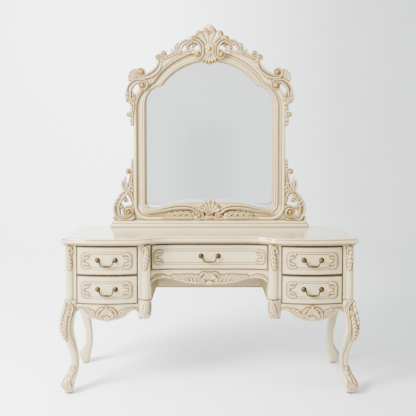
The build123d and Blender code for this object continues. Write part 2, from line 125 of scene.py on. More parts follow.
def along(line, u, v):
    """Each place's share of the line's length at its nearest point and the distance; and the length."""
    step = np.diff(line, axis=0)
    length = np.maximum(np.hypot(*step.T), 1e-9)
    start = np.concatenate([[0], np.cumsum(length)[:-1]])
    whole = start[-1] + length[-1]
    best = np.full(u.shape, 1e9)
    share = np.zeros(u.shape)
    for (ax, az), (dx, dz), run, begin in zip(line[:-1], step, length, start):
        k = np.clip(((u - ax) * dx + (v - az) * dz) / run**2, 0, 1)
        away = np.hypot(u - ax - k * dx, v - az - k * dz)
        closer = away < best
        best = np.where(closer, away, best)
        share = np.where(closer, begin + k * run, share)
    return share / whole, best, whole


# ---------------------------------------------------------------- relief carving
class Carving:
    """A relief over a plane: how far inside its outline each place is, its height, and how gilt it is."""

    def __init__(self, u, v, everywhere=False):
        self.u, self.v = u, v
        self.inside = np.full(u.shape, 9.0 if everywhere else -9.0)
        self.height = np.zeros(u.shape)
        self.gilt = np.zeros(u.shape)

    def near(self, line, reach):
        """The places in a box round a line."""
        low, high = line.min(0) - reach, line.max(0) + reach
        return (self.u > low[0]) & (self.u < high[0]) & (self.v > low[1]) & (self.v < high[1])

    def lay(self, spot, inside, height, gilt=0.0):
        """Lays one form over what is there: the higher surface shows."""
        shown = (inside > 0) & (height > self.height[spot])
        self.height[spot] = np.where(shown, height, self.height[spot])
        self.gilt[spot] = np.where(shown, gilt, self.gilt[spot])
        self.inside[spot] = np.maximum(self.inside[spot], inside)

    def band(self, line, widths, height, flute=0.4, gilt=0.0):
        """A scroll band with a raised rim on each side of a trough. widths run along its length."""
        line = np.asarray(line, float)
        spot = self.near(line, max(widths) + 6)
        t, away, _ = along(line, self.u[spot], self.v[spot])
        width = np.interp(t, np.linspace(0, 1, len(widths)), widths)
        q = np.clip(away / width, 0, 1)
        trough = 1 - flute * np.clip(1 - (q / 0.66) ** 2, 0, 1)
        rise = height * trough * np.sqrt(np.clip(1 - q**4, 0, 1)) * np.sqrt(width / max(widths))
        rim = np.clip((q - 0.6) / 0.25, 0, 1) if flute else 1.0
        self.lay(spot, width - away, rise, gilt * rim)

    def leaf(self, points, width, height, lobes=4, lean=0.8, gilt=0.0):
        """An acanthus leaf: lobes with rounded ridges that lean towards the tip, and a vein."""
        line = smooth(points)
        spot = self.near(line, width + 6)
        t, away, length = along(line, self.u[spot], self.v[spot])
        ridge = np.abs(np.sin(np.pi * lobes * (t - lean * away / length)))
        swell = 1.45 * (t + 0.12) ** 0.5 * np.clip(1 - t, 0, 1) ** 0.4
        reach = width * swell * (0.76 + 0.24 * ridge)
        q = np.clip(away / np.maximum(reach, 1e-6), 0, 1)
        vein = 1 - 0.35 * np.exp(-((away / (0.12 * width)) ** 2))
        rise = height * (0.45 + 0.55 * ridge) * np.sqrt(1 - q**2) * vein * (0.7 + 0.3 * swell)
        self.lay(spot, np.minimum(reach - away, 6), rise, gilt * np.clip(3 * q - 1.2, 0, 1))

    def shell(self, x, z, aim, spread, inner, outer, height, ribs=7, droop=0.2, lip=1.0):
        """A scallop shell that opens from a hub: ribs that swell outwards, and a gilt scalloped lip."""
        spot = self.near(np.array([[x, z]]), outer * 1.15)
        dx, dz = self.u[spot] - x, self.v[spot] - z
        reach = np.hypot(dx, dz)
        turn = (np.degrees(np.arctan2(dz, dx)) - aim + 180) % 360 - 180
        across = turn / spread + 0.5
        ridge = np.abs(np.sin(np.pi * ribs * across))
        edge = outer * (1 - droop * (2 * across - 1) ** 2) * (0.88 + 0.12 * ridge)
        q = np.clip(reach / edge, 0, 1)
        rib = 0.5 + 0.5 * np.sqrt(ridge)
        rise = height * rib * (0.35 + 0.65 * q) * np.sqrt(np.clip(1 - q**10, 0, 1))
        rim = np.exp(-(((q - 0.9) / 0.085) ** 2))
        rise = rise + 0.22 * height * rim * lip
        from_side = np.minimum(across, 1 - across) * np.radians(spread) * np.maximum(reach, 1)
        inside = np.minimum(np.minimum(edge - reach, from_side), reach - inner)
        self.lay(spot, inside, rise, lip * np.clip(rim * 2 - 0.4, 0, 1))

    def ball(self, x, z, radius, height, gilt=0.0):
        """A round boss."""
        spot = self.near(np.array([[x, z]]), radius + 4)
        away = np.hypot(self.u[spot] - x, self.v[spot] - z)
        rise = height * np.sqrt(np.clip(1 - (away / radius) ** 2, 0, 1))
        self.lay(spot, radius - away, rise, gilt)

    def volute(self, x, z, radius, start, turns, height, stem=(), widths=None, gilt=1.0):
        """A stem that curls into a volute with a ball in its eye."""
        line = curl(stem, x, z, radius, start, turns) if len(stem) else spiral(x, z, radius, start, turns)
        self.band(line, widths or [radius * 0.3, radius * 0.34, radius * 0.2], height)
        self.ball(x, z, radius * 0.42, height * 1.05, gilt)

    def line(self, points, width, height):
        """A thin rounded bead along a line; a negative height cuts a groove."""
        line = np.asarray(points, float)
        spot = self.near(line, width + 4)
        _, away, _ = along(line, self.u[spot], self.v[spot])
        self.height[spot] += height * np.clip(1 - (away / width) ** 2, 0, 1)


def softened(field, cells):
    """A field blurred over a number of cells."""
    count = int(3 * cells)
    weight = np.exp(-0.5 * (np.arange(-count, count + 1) / cells) ** 2)
    weight /= weight.sum()
    for axis in (0, 1):
        padded = np.pad(field, [(count, count) if a == axis else (0, 0) for a in (0, 1)], mode="edge")
        size = field.shape[axis]
        field = sum(w * np.take(padded, np.arange(i, i + size), axis=axis) for i, w in enumerate(weight))
    return field


FINE_HOLLOW, BROAD_HOLLOW = 1.6, 4.5
DEEPEST_GLAZE = 0.72


def hollow_glaze(height, cell, gain):
    """Where brown glaze settles: the places that lie lower than what is round them."""
    fine = softened(height, FINE_HOLLOW / cell) - height
    broad = softened(height, BROAD_HOLLOW / cell) - height
    return DEEPEST_GLAZE * np.clip(gain * fine * 2.6 + gain * 1.1 * broad, 0, 1) ** 0.75


# ---------------------------------------------------------------- meshes
class Part:
    """Points in millimetres, faces, and the glaze (which also holds painted shade) and gilt at each point."""

    def __init__(self, points, faces, glaze=None, gilt=None):
        self.points = np.asarray(points, float).reshape(-1, 3)
        self.faces = faces
        count = len(self.points)
        self.glaze = np.zeros(count) if glaze is None else np.asarray(glaze, float).ravel()
        self.gilt = np.zeros(count) if gilt is None else np.asarray(gilt, float).ravel()

    def mirrored(self):
        """The same piece on the other side of the middle."""
        faces = [tuple(reversed(face)) for face in self.faces]
        return Part(self.points * (-1, 1, 1), faces, self.glaze, self.gilt)

    def moved(self, x):
        """The same piece further to the right."""
        return Part(self.points + (x, 0, 0), self.faces, self.glaze, self.gilt)


def new_object(name, data):
    """An object in the scene from its data."""
    made = bpy.data.objects.new(name, data)
    bpy.context.scene.collection.objects.link(made)
    return made


def piece(name, parts, material, body=TABLE, slot="cream_lacquer", replaces=None, crease=40):
    """One object from parts, riding on a body. Unless told more, it replaces the node of its own name."""
    replaces = replaces or [name]
    points, faces, glaze, gilt, start = [], [], [], [], 0
    for part in parts:
        points.append(part.points)
        faces += [tuple(int(i) + start for i in face) for face in part.faces]
        glaze.append(part.glaze)
        gilt.append(part.gilt)
        start += len(part.points)
    mesh = bpy.data.meshes.new(name)
    mesh.from_pydata((np.vstack(points) * MM).tolist(), [], faces)
    mesh.validate()
    # The glaze attribute holds glaze and painted shade; on the glass it tints the bevel.
    for label, values in (("glaze", glaze), ("gilt", gilt)):
        layer = mesh.attributes.new(label, "FLOAT", "POINT")
        layer.data.foreach_set("value", np.concatenate(values).astype(np.float32))
    mesh.shade_smooth()
    mesh.set_sharp_from_angle(angle=math.radians(crease))
    mesh.materials.append(material)
    made = new_object(f"{name}_finished", mesh)
    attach(made, body)
    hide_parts(*replaces)


def pair(name, parts, material, body=TABLE, **finish):
    """A right-hand piece and its mirror image; a body other than the table has a right and a left too."""
    for side in ("right", "left"):
        carrier = body if body == TABLE else f"{body}_{side}"
        shapes = parts if side == "right" else [part.mirrored() for part in parts]
        piece(f"{name}_{side}", shapes, material, carrier, **finish)


def grid(low, high, cell):
    """Two grids of places, a cell apart, from one corner to the other."""
    count = [max(int(round((b - a) / cell)) + 1, 2) for a, b in zip(low, high)]
    u, v = np.meshgrid(np.linspace(low[0], high[0], count[0]), np.linspace(low[1], high[1], count[1]))
    return u, v


BACK_GLAZE = 0.3  # glaze on the back of a relief, as a share of the front's


def relief(carving, place, thickness, cell, glaze):
    """A solid from a carving. place turns (u, v, height) into points; the back is at minus the thickness."""
    inside = carving.inside
    solid = inside > 0
    kept = solid[:-1, :-1] | solid[1:, :-1] | solid[:-1, 1:] | solid[1:, 1:]
    slope_v, slope_u = np.gradient(inside, cell)
    steep = np.maximum(slope_u**2 + slope_v**2, 0.05)
    shift = np.where(solid, 0, np.clip(-inside / steep, 0, 1.3 * cell))
    u = carving.u + slope_u * shift
    v = carving.v + slope_v * shift
    height = np.where(solid, carving.height, 0)
    used = np.zeros(inside.shape, bool)
    for rows in (slice(None, -1), slice(1, None)):
        for columns in (slice(None, -1), slice(1, None)):
            used[rows, columns] |= kept
    index = np.full(inside.shape, -1)
    index[used] = np.arange(used.sum())
    count = int(used.sum())
    front = place(u[used], v[used], height[used])
    back = place(u[used], v[used], np.full(count, -float(thickness)))
    a, b = index[:-1, :-1][kept], index[:-1, 1:][kept]
    c, d = index[1:, 1:][kept], index[1:, :-1][kept]
    quads = [np.column_stack([a, b, c, d]), np.column_stack([d, c, b, a]) + count]
    ring = np.pad(kept, 1)
    for low, high, first, second in (
        (ring[:-1, 1:-1], ring[1:, 1:-1], index[:, :-1], index[:, 1:]),
        (ring[1:-1, 1:], ring[1:-1, :-1], index[:-1, :], index[1:, :]),
    ):
        for edge, p, q in ((high & ~low, first, second), (low & ~high, second, first)):
            p, q = p[edge], q[edge]
            quads.append(np.column_stack([q, p, p + count, q + count]))
    glaze, gilt = glaze[used], np.where(solid, carving.gilt, 0)[used]
    return Part(np.vstack([front, back]), np.vstack(quads).tolist(),
                np.concatenate([glaze, glaze * BACK_GLAZE]), np.concatenate([gilt, gilt * 0]))


def tube(rings, glaze=None, gilt=None, loop=False):
    """A closed solid from rings of points, each ring counter-clockwise seen from the side it grows to."""
    rings = np.asarray(rings, float)
    rows, count = rings.shape[:2]
    index = np.arange(rows * count).reshape(rows, count)
    if loop:
        index = np.vstack([index, index[:1]])
    a, b = index[:-1], np.roll(index, -1, axis=1)[:-1]
    c, d = np.roll(index, -1, axis=1)[1:], index[1:]
    faces = np.column_stack([x.ravel() for x in (a, b, c, d)]).tolist()
    points = rings.reshape(-1, 3)
    shade = np.zeros(rings.shape[:2]) if glaze is None else np.broadcast_to(glaze, rings.shape[:2])
    gold = np.zeros(rings.shape[:2]) if gilt is None else np.broadcast_to(gilt, rings.shape[:2])
    shade, gold = shade.ravel(), gold.ravel()
    if not loop:
        for row, order in ((0, -1), (rows - 1, 1)):
            hub = len(points)
            points = np.vstack([points, rings[row].mean(0)])
            shade = np.append(shade, shade[row * count])
            gold = np.append(gold, gold[row * count])
            rim = index[row]
            faces += [(int(rim[i]), int(rim[(i + 1) % count]), hub)[::order] for i in range(count)]
    return Part(points, faces, shade, gold)


def lathe(profile, centre, sides=32, petals=0, depth=0.0):
    """A solid turned about the Y axis: profile is (radius, distance forwards), from the back to the front."""
    angle = np.linspace(0, 2 * np.pi, sides, endpoint=False)
    rings = []
    for radius, reach in profile:
        wave = 1 + depth * np.cos(petals * angle)
        x, z = radius * wave * np.cos(angle), radius * wave * np.sin(angle)
        y = np.full(sides, -float(reach))
        rings.append(np.column_stack([x, y, z]))
    return tube(np.array(rings) + np.array(centre))


EASE = 1.0


def board(low, high, levels):
    """An upright board from its rings: height, how far in from the board's corners, and glaze."""
    rings = []
    for z, ease, _ in levels:
        (x0, y0), (x1, y1) = (low[0] + ease, low[1] + ease), (high[0] - ease, high[1] - ease)
        rings.append([(x0, y0, z), (x1, y0, z), (x1, y1, z), (x0, y1, z)])
    return tube(rings, np.array([glaze for _, _, glaze in levels])[:, None])


def plain_board(low, high):
    """A board with eased edges and no glaze."""
    z0, z1 = low[2], high[2]
    return board(low, high, [(z0, EASE, 0), (z0 + EASE, 0, 0), (z1 - EASE, 0, 0), (z1, EASE, 0)])


# ---------------------------------------------------------------- materials
CREAM = (0.47, 0.390, 0.215)
CREAM_SHADE = (0.355, 0.27, 0.115)
OCHRE = (0.168, 0.088, 0.016)
# The darkest glaze tone, also used for painted shade in gaps and under edges.
DARK_GLAZE_AND_SHADE = (0.026, 0.018, 0.012)
GOLD = (0.30, 0.165, 0.020)
RUBBED_BRASS, BRASS_PATINA = (0.095, 0.058, 0.020), (0.026, 0.015, 0.006)
SILVER_TINT, BEVEL_TINT = (0.965, 0.99, 0.97), (1.0, 1.0, 1.0)
# The paper's colour far from the window is painted shade.
PAPER_NEAR, PAPER_PAINTED_SHADE, PAPER_GRAIN = (0.92, 0.94, 0.955), (0.54, 0.55, 0.55), (0.85, 0.86, 0.87)


def nodes_of(name):
    """A new material, its node tree and its shader."""
    material = bpy.data.materials.new(name)
    material.use_nodes = True
    return material, material.node_tree, material.node_tree.nodes["Principled BSDF"]


def noise(tree, scale, stretch=(1, 1, 1), detail=4.0, rough=0.55):
    """A noise value over the object's own space."""
    where = tree.nodes.new("ShaderNodeTexCoord")
    mapping = tree.nodes.new("ShaderNodeMapping")
    mapping.inputs["Scale"].default_value = stretch
    texture = tree.nodes.new("ShaderNodeTexNoise")
    texture.inputs["Scale"].default_value = scale
    texture.inputs["Detail"].default_value = detail
    texture.inputs["Roughness"].default_value = rough
    tree.links.new(where.outputs["Object"], mapping.inputs["Vector"])
    tree.links.new(mapping.outputs["Vector"], texture.inputs["Vector"])
    return texture.outputs["Fac"]


def spread(tree, value, low, high, out_low=0.0, out_high=1.0):
    """A value moved from one range to another, and clamped."""
    node = tree.nodes.new("ShaderNodeMapRange")
    for socket, number in zip(("From Min", "From Max", "To Min", "To Max"), (low, high, out_low, out_high)):
        node.inputs[socket].default_value = number
    tree.links.new(value, node.inputs["Value"])
    return node.outputs["Result"]


def mixed(tree, share, first, second):
    """A colour between two others; each is a colour or an output."""
    node = tree.nodes.new("ShaderNodeMix")
    node.data_type = "RGBA"
    for socket, colour in (("A", first), ("B", second)):
        target = [s for s in node.inputs if s.name == socket and s.type == "RGBA"][0]
        if isinstance(colour, tuple):
            target.default_value = (*colour, 1)
        else:
            tree.links.new(colour, target)
    tree.links.new(share, node.inputs[0])
    return [s for s in node.outputs if s.type == "RGBA"][0]


def product(tree, first, second):
    """The product of two values, held between 0 and 1."""
    node = tree.nodes.new("ShaderNodeMath")
    node.operation = "MULTIPLY"
    node.use_clamp = True
    for i, value in enumerate((first, second)):
        if isinstance(value, float):
            node.inputs[i].default_value = value
        else:
            tree.links.new(value, node.inputs[i])
    return node.outputs[0]


def attribute(tree, name):
    """A value that the mesh carries at its points."""
    node = tree.nodes.new("ShaderNodeAttribute")
    node.attribute_name = name
    return node.outputs["Fac"]


def bump(tree, shader, height, distance, strength):
    node = tree.nodes.new("ShaderNodeBump")
    node.inputs["Distance"].default_value = distance
    node.inputs["Strength"].default_value = strength
    tree.links.new(height, node.inputs["Height"])
    tree.links.new(node.outputs["Normal"], shader.inputs["Normal"])


def lacquer(name, stretch, streaks=0.3, rough=(0.34, 0.48), coat=0.15, shine=0.5):
    """Cream lacquer: brushed glaze streaks along one way, brown in the hollows, gilt on the high points. The
    brown also holds painted shade in gaps, under edges and over the kneehole panels.
    """
    material, tree, shader = nodes_of(name)
    brushed = spread(tree, noise(tree, 1.0, stretch, 5.0, 0.62), 0.45, 0.75, 0.0, streaks)
    cloudy = spread(tree, noise(tree, 7.0, detail=3.0), 0.35, 0.7, 0.0, 0.16)
    colour = mixed(tree, brushed, CREAM, CREAM_SHADE)
    colour = mixed(tree, cloudy, colour, CREAM_SHADE)
    patchy = spread(tree, noise(tree, 90.0, detail=5.0), 0.3, 0.7, 0.8, 1.0)
    # brown from the glaze attribute: glaze in the hollows, and painted shade in gaps, under edges and over
    # the kneehole panels
    brown = product(tree, attribute(tree, "glaze"), patchy)
    colour = mixed(tree, spread(tree, brown, 0.0, 0.6), colour, OCHRE)
    colour = mixed(tree, spread(tree, brown, 0.6, 1.0), colour, DARK_GLAZE_AND_SHADE)
    worn = spread(tree, noise(tree, 130.0, detail=4.0), 0.28, 0.42, 0.55, 1.0)
    gilt = product(tree, attribute(tree, "gilt"), worn)
    colour = mixed(tree, gilt, colour, GOLD)
    tree.links.new(colour, shader.inputs["Base Color"])
    tree.links.new(product(tree, gilt, 0.5), shader.inputs["Metallic"])
    tree.links.new(spread(tree, noise(tree, 22.0, detail=5.0), 0.3, 0.7, *rough), shader.inputs["Roughness"])
    for socket, value in (("Coat Weight", coat), ("Specular IOR Level", shine), ("Coat Roughness", 0.22)):
        shader.inputs[socket].default_value = value
    bump(tree, shader, noise(tree, 1.0, tuple(4 * s for s in stretch), 4.0), 0.0004, 0.25)
    return material


def timber(name, light, dark, stretch, rough=0.6):
    """Plain wood with grain along one way."""
    material, tree, shader = nodes_of(name)
    grain = noise(tree, 1.0, stretch, 8.0, 0.65)
    colour = mixed(tree, spread(tree, grain, 0.35, 0.68), light, dark)
    tree.links.new(colour, shader.inputs["Base Color"])
    tree.links.new(spread(tree, grain, 0.2, 0.8, rough - 0.1, rough + 0.12), shader.inputs["Roughness"])
    bump(tree, shader, grain, 0.0006, 0.3)
    return material


def antique_brass():
    """Dark brass: brown patina in patches and brighter rubbed places."""
    material, tree, shader = nodes_of("antique_brass")
    patina = noise(tree, 160.0, detail=6.0)
    colour = mixed(tree, spread(tree, patina, 0.35, 0.65), RUBBED_BRASS, BRASS_PATINA)
    tree.links.new(colour, shader.inputs["Base Color"])
    shader.inputs["Metallic"].default_value = 0.85
    tree.links.new(spread(tree, patina, 0.3, 0.7, 0.3, 0.5), shader.inputs["Roughness"])
    bump(tree, shader, noise(tree, 420.0), 0.0002, 0.3)
    return material


def mirror_silver():
    """Silvered glass with a faint unevenness in its polish."""
    material, tree, shader = nodes_of("mirror_silver")
    colour = mixed(tree, attribute(tree, "glaze"), SILVER_TINT, BEVEL_TINT)
    tree.links.new(colour, shader.inputs["Base Color"])
    shader.inputs["Metallic"].default_value = 1.0
    tree.links.new(spread(tree, noise(tree, 3.0), 0.3, 0.7, 0.015, 0.035), shader.inputs["Roughness"])
    return material


def speckled(name, first, second, scale, rough, metallic=0.0):
    """A plain surface with fine speckle in its colour and roughness."""
    material, tree, shader = nodes_of(name)
    grain = noise(tree, scale, detail=5.0)
    tree.links.new(mixed(tree, spread(tree, grain, 0.3, 0.7), first, second), shader.inputs["Base Color"])
    tree.links.new(spread(tree, grain, 0.3, 0.7, rough - 0.06, rough + 0.06), shader.inputs["Roughness"])
    shader.inputs["Metallic"].default_value = metallic
    bump(tree, shader, grain, 0.0002, 0.25)
    return material


LEVEL_LACQUER = lacquer("lacquer_brushed_level", (1.2, 12, 75))
UPRIGHT_LACQUER = lacquer("lacquer_brushed_upright", (60, 60, 1.6))
CARVED_LACQUER = lacquer("lacquer_carved", (18, 18, 18), streaks=0.22)
TOP_LACQUER = lacquer("lacquer_top", (1.1, 22, 22), streaks=0.2, rough=(0.10, 0.17), coat=0.6)
PANEL_LACQUER = lacquer("lacquer_panel", (60, 60, 1.6), coat=0.0, shine=0.0)
PLAIN_TIMBER = timber("plain_timber", (0.36, 0.25, 0.125), (0.25, 0.155, 0.065), (14, 2.0, 40))
BACKBOARD = timber("backboard", (0.17, 0.105, 0.048), (0.12, 0.07, 0.03), (60, 60, 60), 0.75)
BRASS = antique_brass()
SILVER = mirror_silver()
PAD = speckled("glide_pad", (0.035, 0.034, 0.032), (0.06, 0.058, 0.055), 300.0, 0.75)
STEEL = speckled("screw_steel", (0.50, 0.50, 0.49), (0.38, 0.38, 0.38), 240.0, 0.35, 1.0)


def dress(mesh, material):
    """Gives the mesh of a CAD node that stays in view its material."""
    mesh.materials.clear()
    mesh.materials.append(material)
    mesh.shade_smooth()
    mesh.set_sharp_from_angle(angle=math.radians(35))


# ---------------------------------------------------------------- camera, floor and light
VIEW_FROM = (-8.2, -3367.0, 1277.0)
VIEW_TILT = 2.32  # degrees below level
VIEW_SHIFT = -0.10
LENS, SENSOR = 54.43, 36.0


def place_camera():
    data = bpy.data.cameras.new("camera")
    data.lens = LENS
    data.sensor_width = SENSOR
    data.shift_y = VIEW_SHIFT
    camera = new_object("camera", data)
    camera.location = [place * MM for place in VIEW_FROM]
    camera.rotation_euler = (math.radians(90 - VIEW_TILT), 0, 0)
    bpy.context.scene.camera = camera


FLOOR_FRONT, FLOOR_BACK, FLOOR_HALF, WALL_HEIGHT, SWEEP = -9.0, 5.4, 9.0, 7.0, 1.8  # metres


def floor_paper():
    """Pale paper with painted shade that darkens it a little away from the window."""
    material, tree, shader = nodes_of("floor_paper")
    place = tree.nodes.new("ShaderNodeSeparateXYZ")
    tree.links.new(tree.nodes.new("ShaderNodeTexCoord").outputs["Object"], place.inputs[0])
    # painted shade: the paper darkens along X, away from the window
    away = spread(tree, place.outputs["X"], -0.9, 1.9)
    grain = spread(tree, noise(tree, 3.0, detail=5.0), 0.3, 0.7, 0.0, 0.12)
    colour = mixed(tree, away, PAPER_NEAR, PAPER_PAINTED_SHADE)
    tree.links.new(mixed(tree, grain, colour, PAPER_GRAIN), shader.inputs["Base Color"])
    shader.inputs["Roughness"].default_value = 0.75
    return material


def make_floor():
    """A pale floor that curves up into a wall behind the table."""
    turn = np.linspace(0, np.pi / 2, 20)
    bend = [(FLOOR_BACK - SWEEP + SWEEP * math.sin(a), SWEEP - SWEEP * math.cos(a)) for a in turn]
    outline = [(FLOOR_FRONT, 0.0), *bend, (FLOOR_BACK, WALL_HEIGHT)]
    points = [(x, y, z) for y, z in outline for x in (-FLOOR_HALF, FLOOR_HALF)]
    faces = [(2 * i, 2 * i + 1, 2 * i + 3, 2 * i + 2) for i in range(len(outline) - 1)]
    mesh = bpy.data.meshes.new("floor")
    mesh.from_pydata(points, [], faces)
    mesh.shade_smooth()
    mesh.materials.append(floor_paper())
    floor = new_object("floor", mesh)


def soft_light(name, place, aim, size, power, colour):
    """A rectangular light that faces a point."""
    data = bpy.data.lights.new(name, "AREA")
    data.shape = "RECTANGLE"
    data.size, data.size_y = size
    data.energy = power
    data.color = colour
    light = new_object(name, data)
    light.location = place
    way = np.array(aim) - np.array(place)
    light.rotation_mode = "QUATERNION"
    light.rotation_quaternion = Vector(way).to_track_quat("-Z", "Y")


WINDOW_WAY = (-0.62, -0.78, 0.1)
SKY = (0.25, 1.95)  # strength of the sky away from the window and towards it
SKY_COLOUR = (0.95, 0.975, 1.0, 1)
SHADOW = 0.38  # what a low, narrow patch of the sky in front lacks: the room's far end, seen in the mirror
# Place, aim and size in metres, power in watts, and colour.
LIGHTS = {
    "window": ((-3.0, -2.4, 3.0), (0, 0, 0.8), (1.7, 1.7), 980.0, (1.0, 0.99, 0.97)),
    "overhead": ((-0.6, -0.9, 4.2), (0, 0.2, 0.6), (3.0, 2.0), 150.0, (1, 1, 1)),
    "wall_wash": ((-1.6, 2.3, 3.9), (-1.3, 5.4, 0.6), (3.0, 1.2), 340.0, (0.98, 0.99, 1.0)),
}


def aimed(tree, way, low, high, out_low, out_high):
    """How far a direction of the sky lies along a way, moved to another range with soft ends."""
    where = tree.nodes.new("ShaderNodeTexCoord")
    dot = tree.nodes.new("ShaderNodeVectorMath")
    dot.operation = "DOT_PRODUCT"
    dot.inputs[1].default_value = way
    tree.links.new(where.outputs["Generated"], dot.inputs[0])
    result = spread(tree, dot.outputs["Value"], low, high, out_low, out_high)
    result.node.interpolation_type = "SMOOTHSTEP"
    return result


def light_studio():
    """A sky that is bright towards the window, and lights: window, overhead and wall."""
    world = bpy.data.worlds.new("studio")
    world.use_nodes = True
    tree = world.node_tree
    sky = tree.nodes["Background"]
    sky.inputs["Color"].default_value = SKY_COLOUR
    bright = aimed(tree, WINDOW_WAY, -1.0, 1.0, *SKY)
    left = aimed(tree, (1.0, 0.0, 0.0), -0.07, -0.008, 0.0, 1.0)
    right = aimed(tree, (1.0, 0.0, 0.0), 0.008, 0.07, 1.0, 0.0)
    low = aimed(tree, (0.0, 0.0, 1.0), 0.0, 0.06, 1.0, 0.0)
    front = aimed(tree, (0.0, -1.0, 0.0), 0.8, 0.9, 0.0, SHADOW)
    shadow = product(tree, product(tree, left, right), product(tree, low, front))
    lit = tree.nodes.new("ShaderNodeMath")
    lit.operation = "SUBTRACT"
    tree.links.new(bright, lit.inputs[0])
    tree.links.new(shadow, lit.inputs[1])
    tree.links.new(lit.outputs[0], sky.inputs["Strength"])
    bpy.context.scene.world = world
    for name, settings in LIGHTS.items():
        soft_light(name, *settings)


place_camera()
make_floor()
light_studio()


# ---------------------------------------------------------------- places read from the frame
def corners(node):
    """Lowest and highest corner of a CAD node, in millimetres."""
    low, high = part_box(node)
    return np.array(low) / MM, np.array(high) / MM


TABLE_HEIGHT = corners("table_top")[1][2]
CASE_TOP = corners("sub_top")[0][2]
FRONT_LOW, FRONT_HIGH = corners("drawer_front_upper_right")
PEDESTAL_X = (FRONT_LOW[0] + FRONT_HIGH[0]) / 2
PEDESTAL_HALF = (FRONT_HIGH[0] - FRONT_LOW[0]) / 2
FRONT_EDGE = 20.0  # thickness of a drawer front at its ends
BOW_EDGE_Y = FRONT_HIGH[1] - FRONT_EDGE
BOW_DEPTH = BOW_EDGE_Y - FRONT_LOW[1]
POST_FACE_Y = BOW_EDGE_Y - 2.0
POST_BACK_Y = corners("bottom_panel_right")[0][1]
OUTER_POST = (corners("back_panel_right")[1][0], 727.0)
INNER_POST = tuple(corner[0] for corner in corners("post_inner_right"))
OUTER_POST_WIDTH = OUTER_POST[1] - OUTER_POST[0]
INNER_POST_WIDTH = INNER_POST[1] - INNER_POST[0]


def bow_y(x):
    """Front surface of a pedestal's drawers."""
    radius = (PEDESTAL_HALF**2 + BOW_DEPTH**2) / (2 * BOW_DEPTH)
    return BOW_EDGE_Y - BOW_DEPTH + radius - np.sqrt(radius**2 - (x - PEDESTAL_X) ** 2)


# ---------------------------------------------------------------- table top
TOP_FRONT = [(0, -180), (100, -180), (190, -181), (240, -188), (280, -208), (320, -236), (365, -251),
             (430, -258), (518, -260), (600, -256), (690, -242), (750, -234)]
TOP_SIDE = [(750, -234), (737, -180), (740, -60), (750, 90), (746, 190), (738, 260)]
# Edge moulding from the underside up: inset from the widest outline, height below the top, glaze. The glaze
# on the lowest rings is painted shade under the edge.
TOP_EDGE = [(22, 37, 0.5), (20, 36.4, 0.72), (18.5, 33, 0.62), (15.5, 30.0, 0.15), (11.5, 27.8, 0.62),
            (8.5, 27, 0.7), (5.0, 26.0, 0.5), (2, 23.5, 0.05), (0.3, 19.5, 0), (0, 16, 0), (1.0, 12.0, 0),
            (3.6, 8.8, 0.2), (5.6, 7.6, 0.66), (7.6, 6.8, 0.7), (8.4, 4.8, 0.45), (9.4, 2.6, 0), (12, 0.8, 0),
            (16, 0.1, 0.0), (24, 0, 0)]


def top_outline():
    """The widest outline of the table top, anticlockwise seen from above."""
    front = smooth(TOP_FRONT, 10)
    side = smooth(TOP_SIDE, 12)
    back = np.column_stack([np.linspace(738, 0, 30)[1:], np.full(29, 260.0)])
    return closed(np.vstack([front, side[1:], back]))


def shrunk(ring, share):
    """A ring drawn in towards a place from which all of it can be seen."""
    middle = np.array([0.0, 40.0])
    return middle + share * (ring - middle)


TOP_POINTS = 800


def make_top():
    """The table top and the board under it, with the moulding carried round the whole outline."""
    outline = top_outline()
    outline = resampled(np.vstack([outline, outline[:1]]), TOP_POINTS + 1)[:-1]
    way = inward(outline, 60)
    way /= np.hypot(*way.T)[:, None]
    edge = [(outline + distance * way, below, glaze) for distance, below, glaze in TOP_EDGE]
    under, over = edge[0][0], edge[-1][0]
    # the underside of the top gets painted shade
    edge = [(shrunk(under, share), TOP_EDGE[0][1], 0.3) for share in (0.1, 0.5, 0.9)] + edge
    edge += [(shrunk(over, share), 0, 0) for share in (0.85, 0.6, 0.35, 0.1)]
    rings = [np.column_stack([ring, np.full(len(ring), TABLE_HEIGHT - below)]) for ring, below, _ in edge]
    part = tube(rings, np.array([glaze for _, _, glaze in edge])[:, None])
    piece("table_top", [part], TOP_LACQUER, replaces=["table_top", "sub_top"])


make_top()


# ---------------------------------------------------------------- legs and posts
# Height, outer and inner edge of the front leg seen from the front; the side view follows the same curve.
LEG_CURVE = [
    (474, 720, 681), (469, 729, 677), (460, 733, 675), (445, 735, 675), (429, 738, 677), (396, 747, 681),
    (364, 750, 687), (332, 749, 689), (300, 743, 687), (268, 733, 683), (235, 724, 678), (202, 714, 673),
    (170, 709, 670), (138, 709, 669), (106, 716, 672), (76, 732, 678), (56, 743, 683), (38, 746, 687),
    (20, 738, 691), (8, 731, 694),
]
LEG_TOP = 455.0
LEG_SIDES = 104
LEG_SQUARENESS = 3.4
FRONT_KICK, BACK_KICK = 1.3, 0.8  # how far a leg swings forwards or back for each step outwards
FRONT_SPLAY = 20.0
BACK_POST_Y = (186.0, 236.0)
CELL = 2.0


def leg_face_y(z, outer, front):
    """The face of a leg that looks away from the table, at a height."""
    swing = outer - OUTER_POST[1]
    if front:
        return POST_FACE_Y - swing * FRONT_KICK - FRONT_SPLAY * (LEG_TOP - z) / LEG_TOP
    return BACK_POST_Y[1] + swing * BACK_KICK


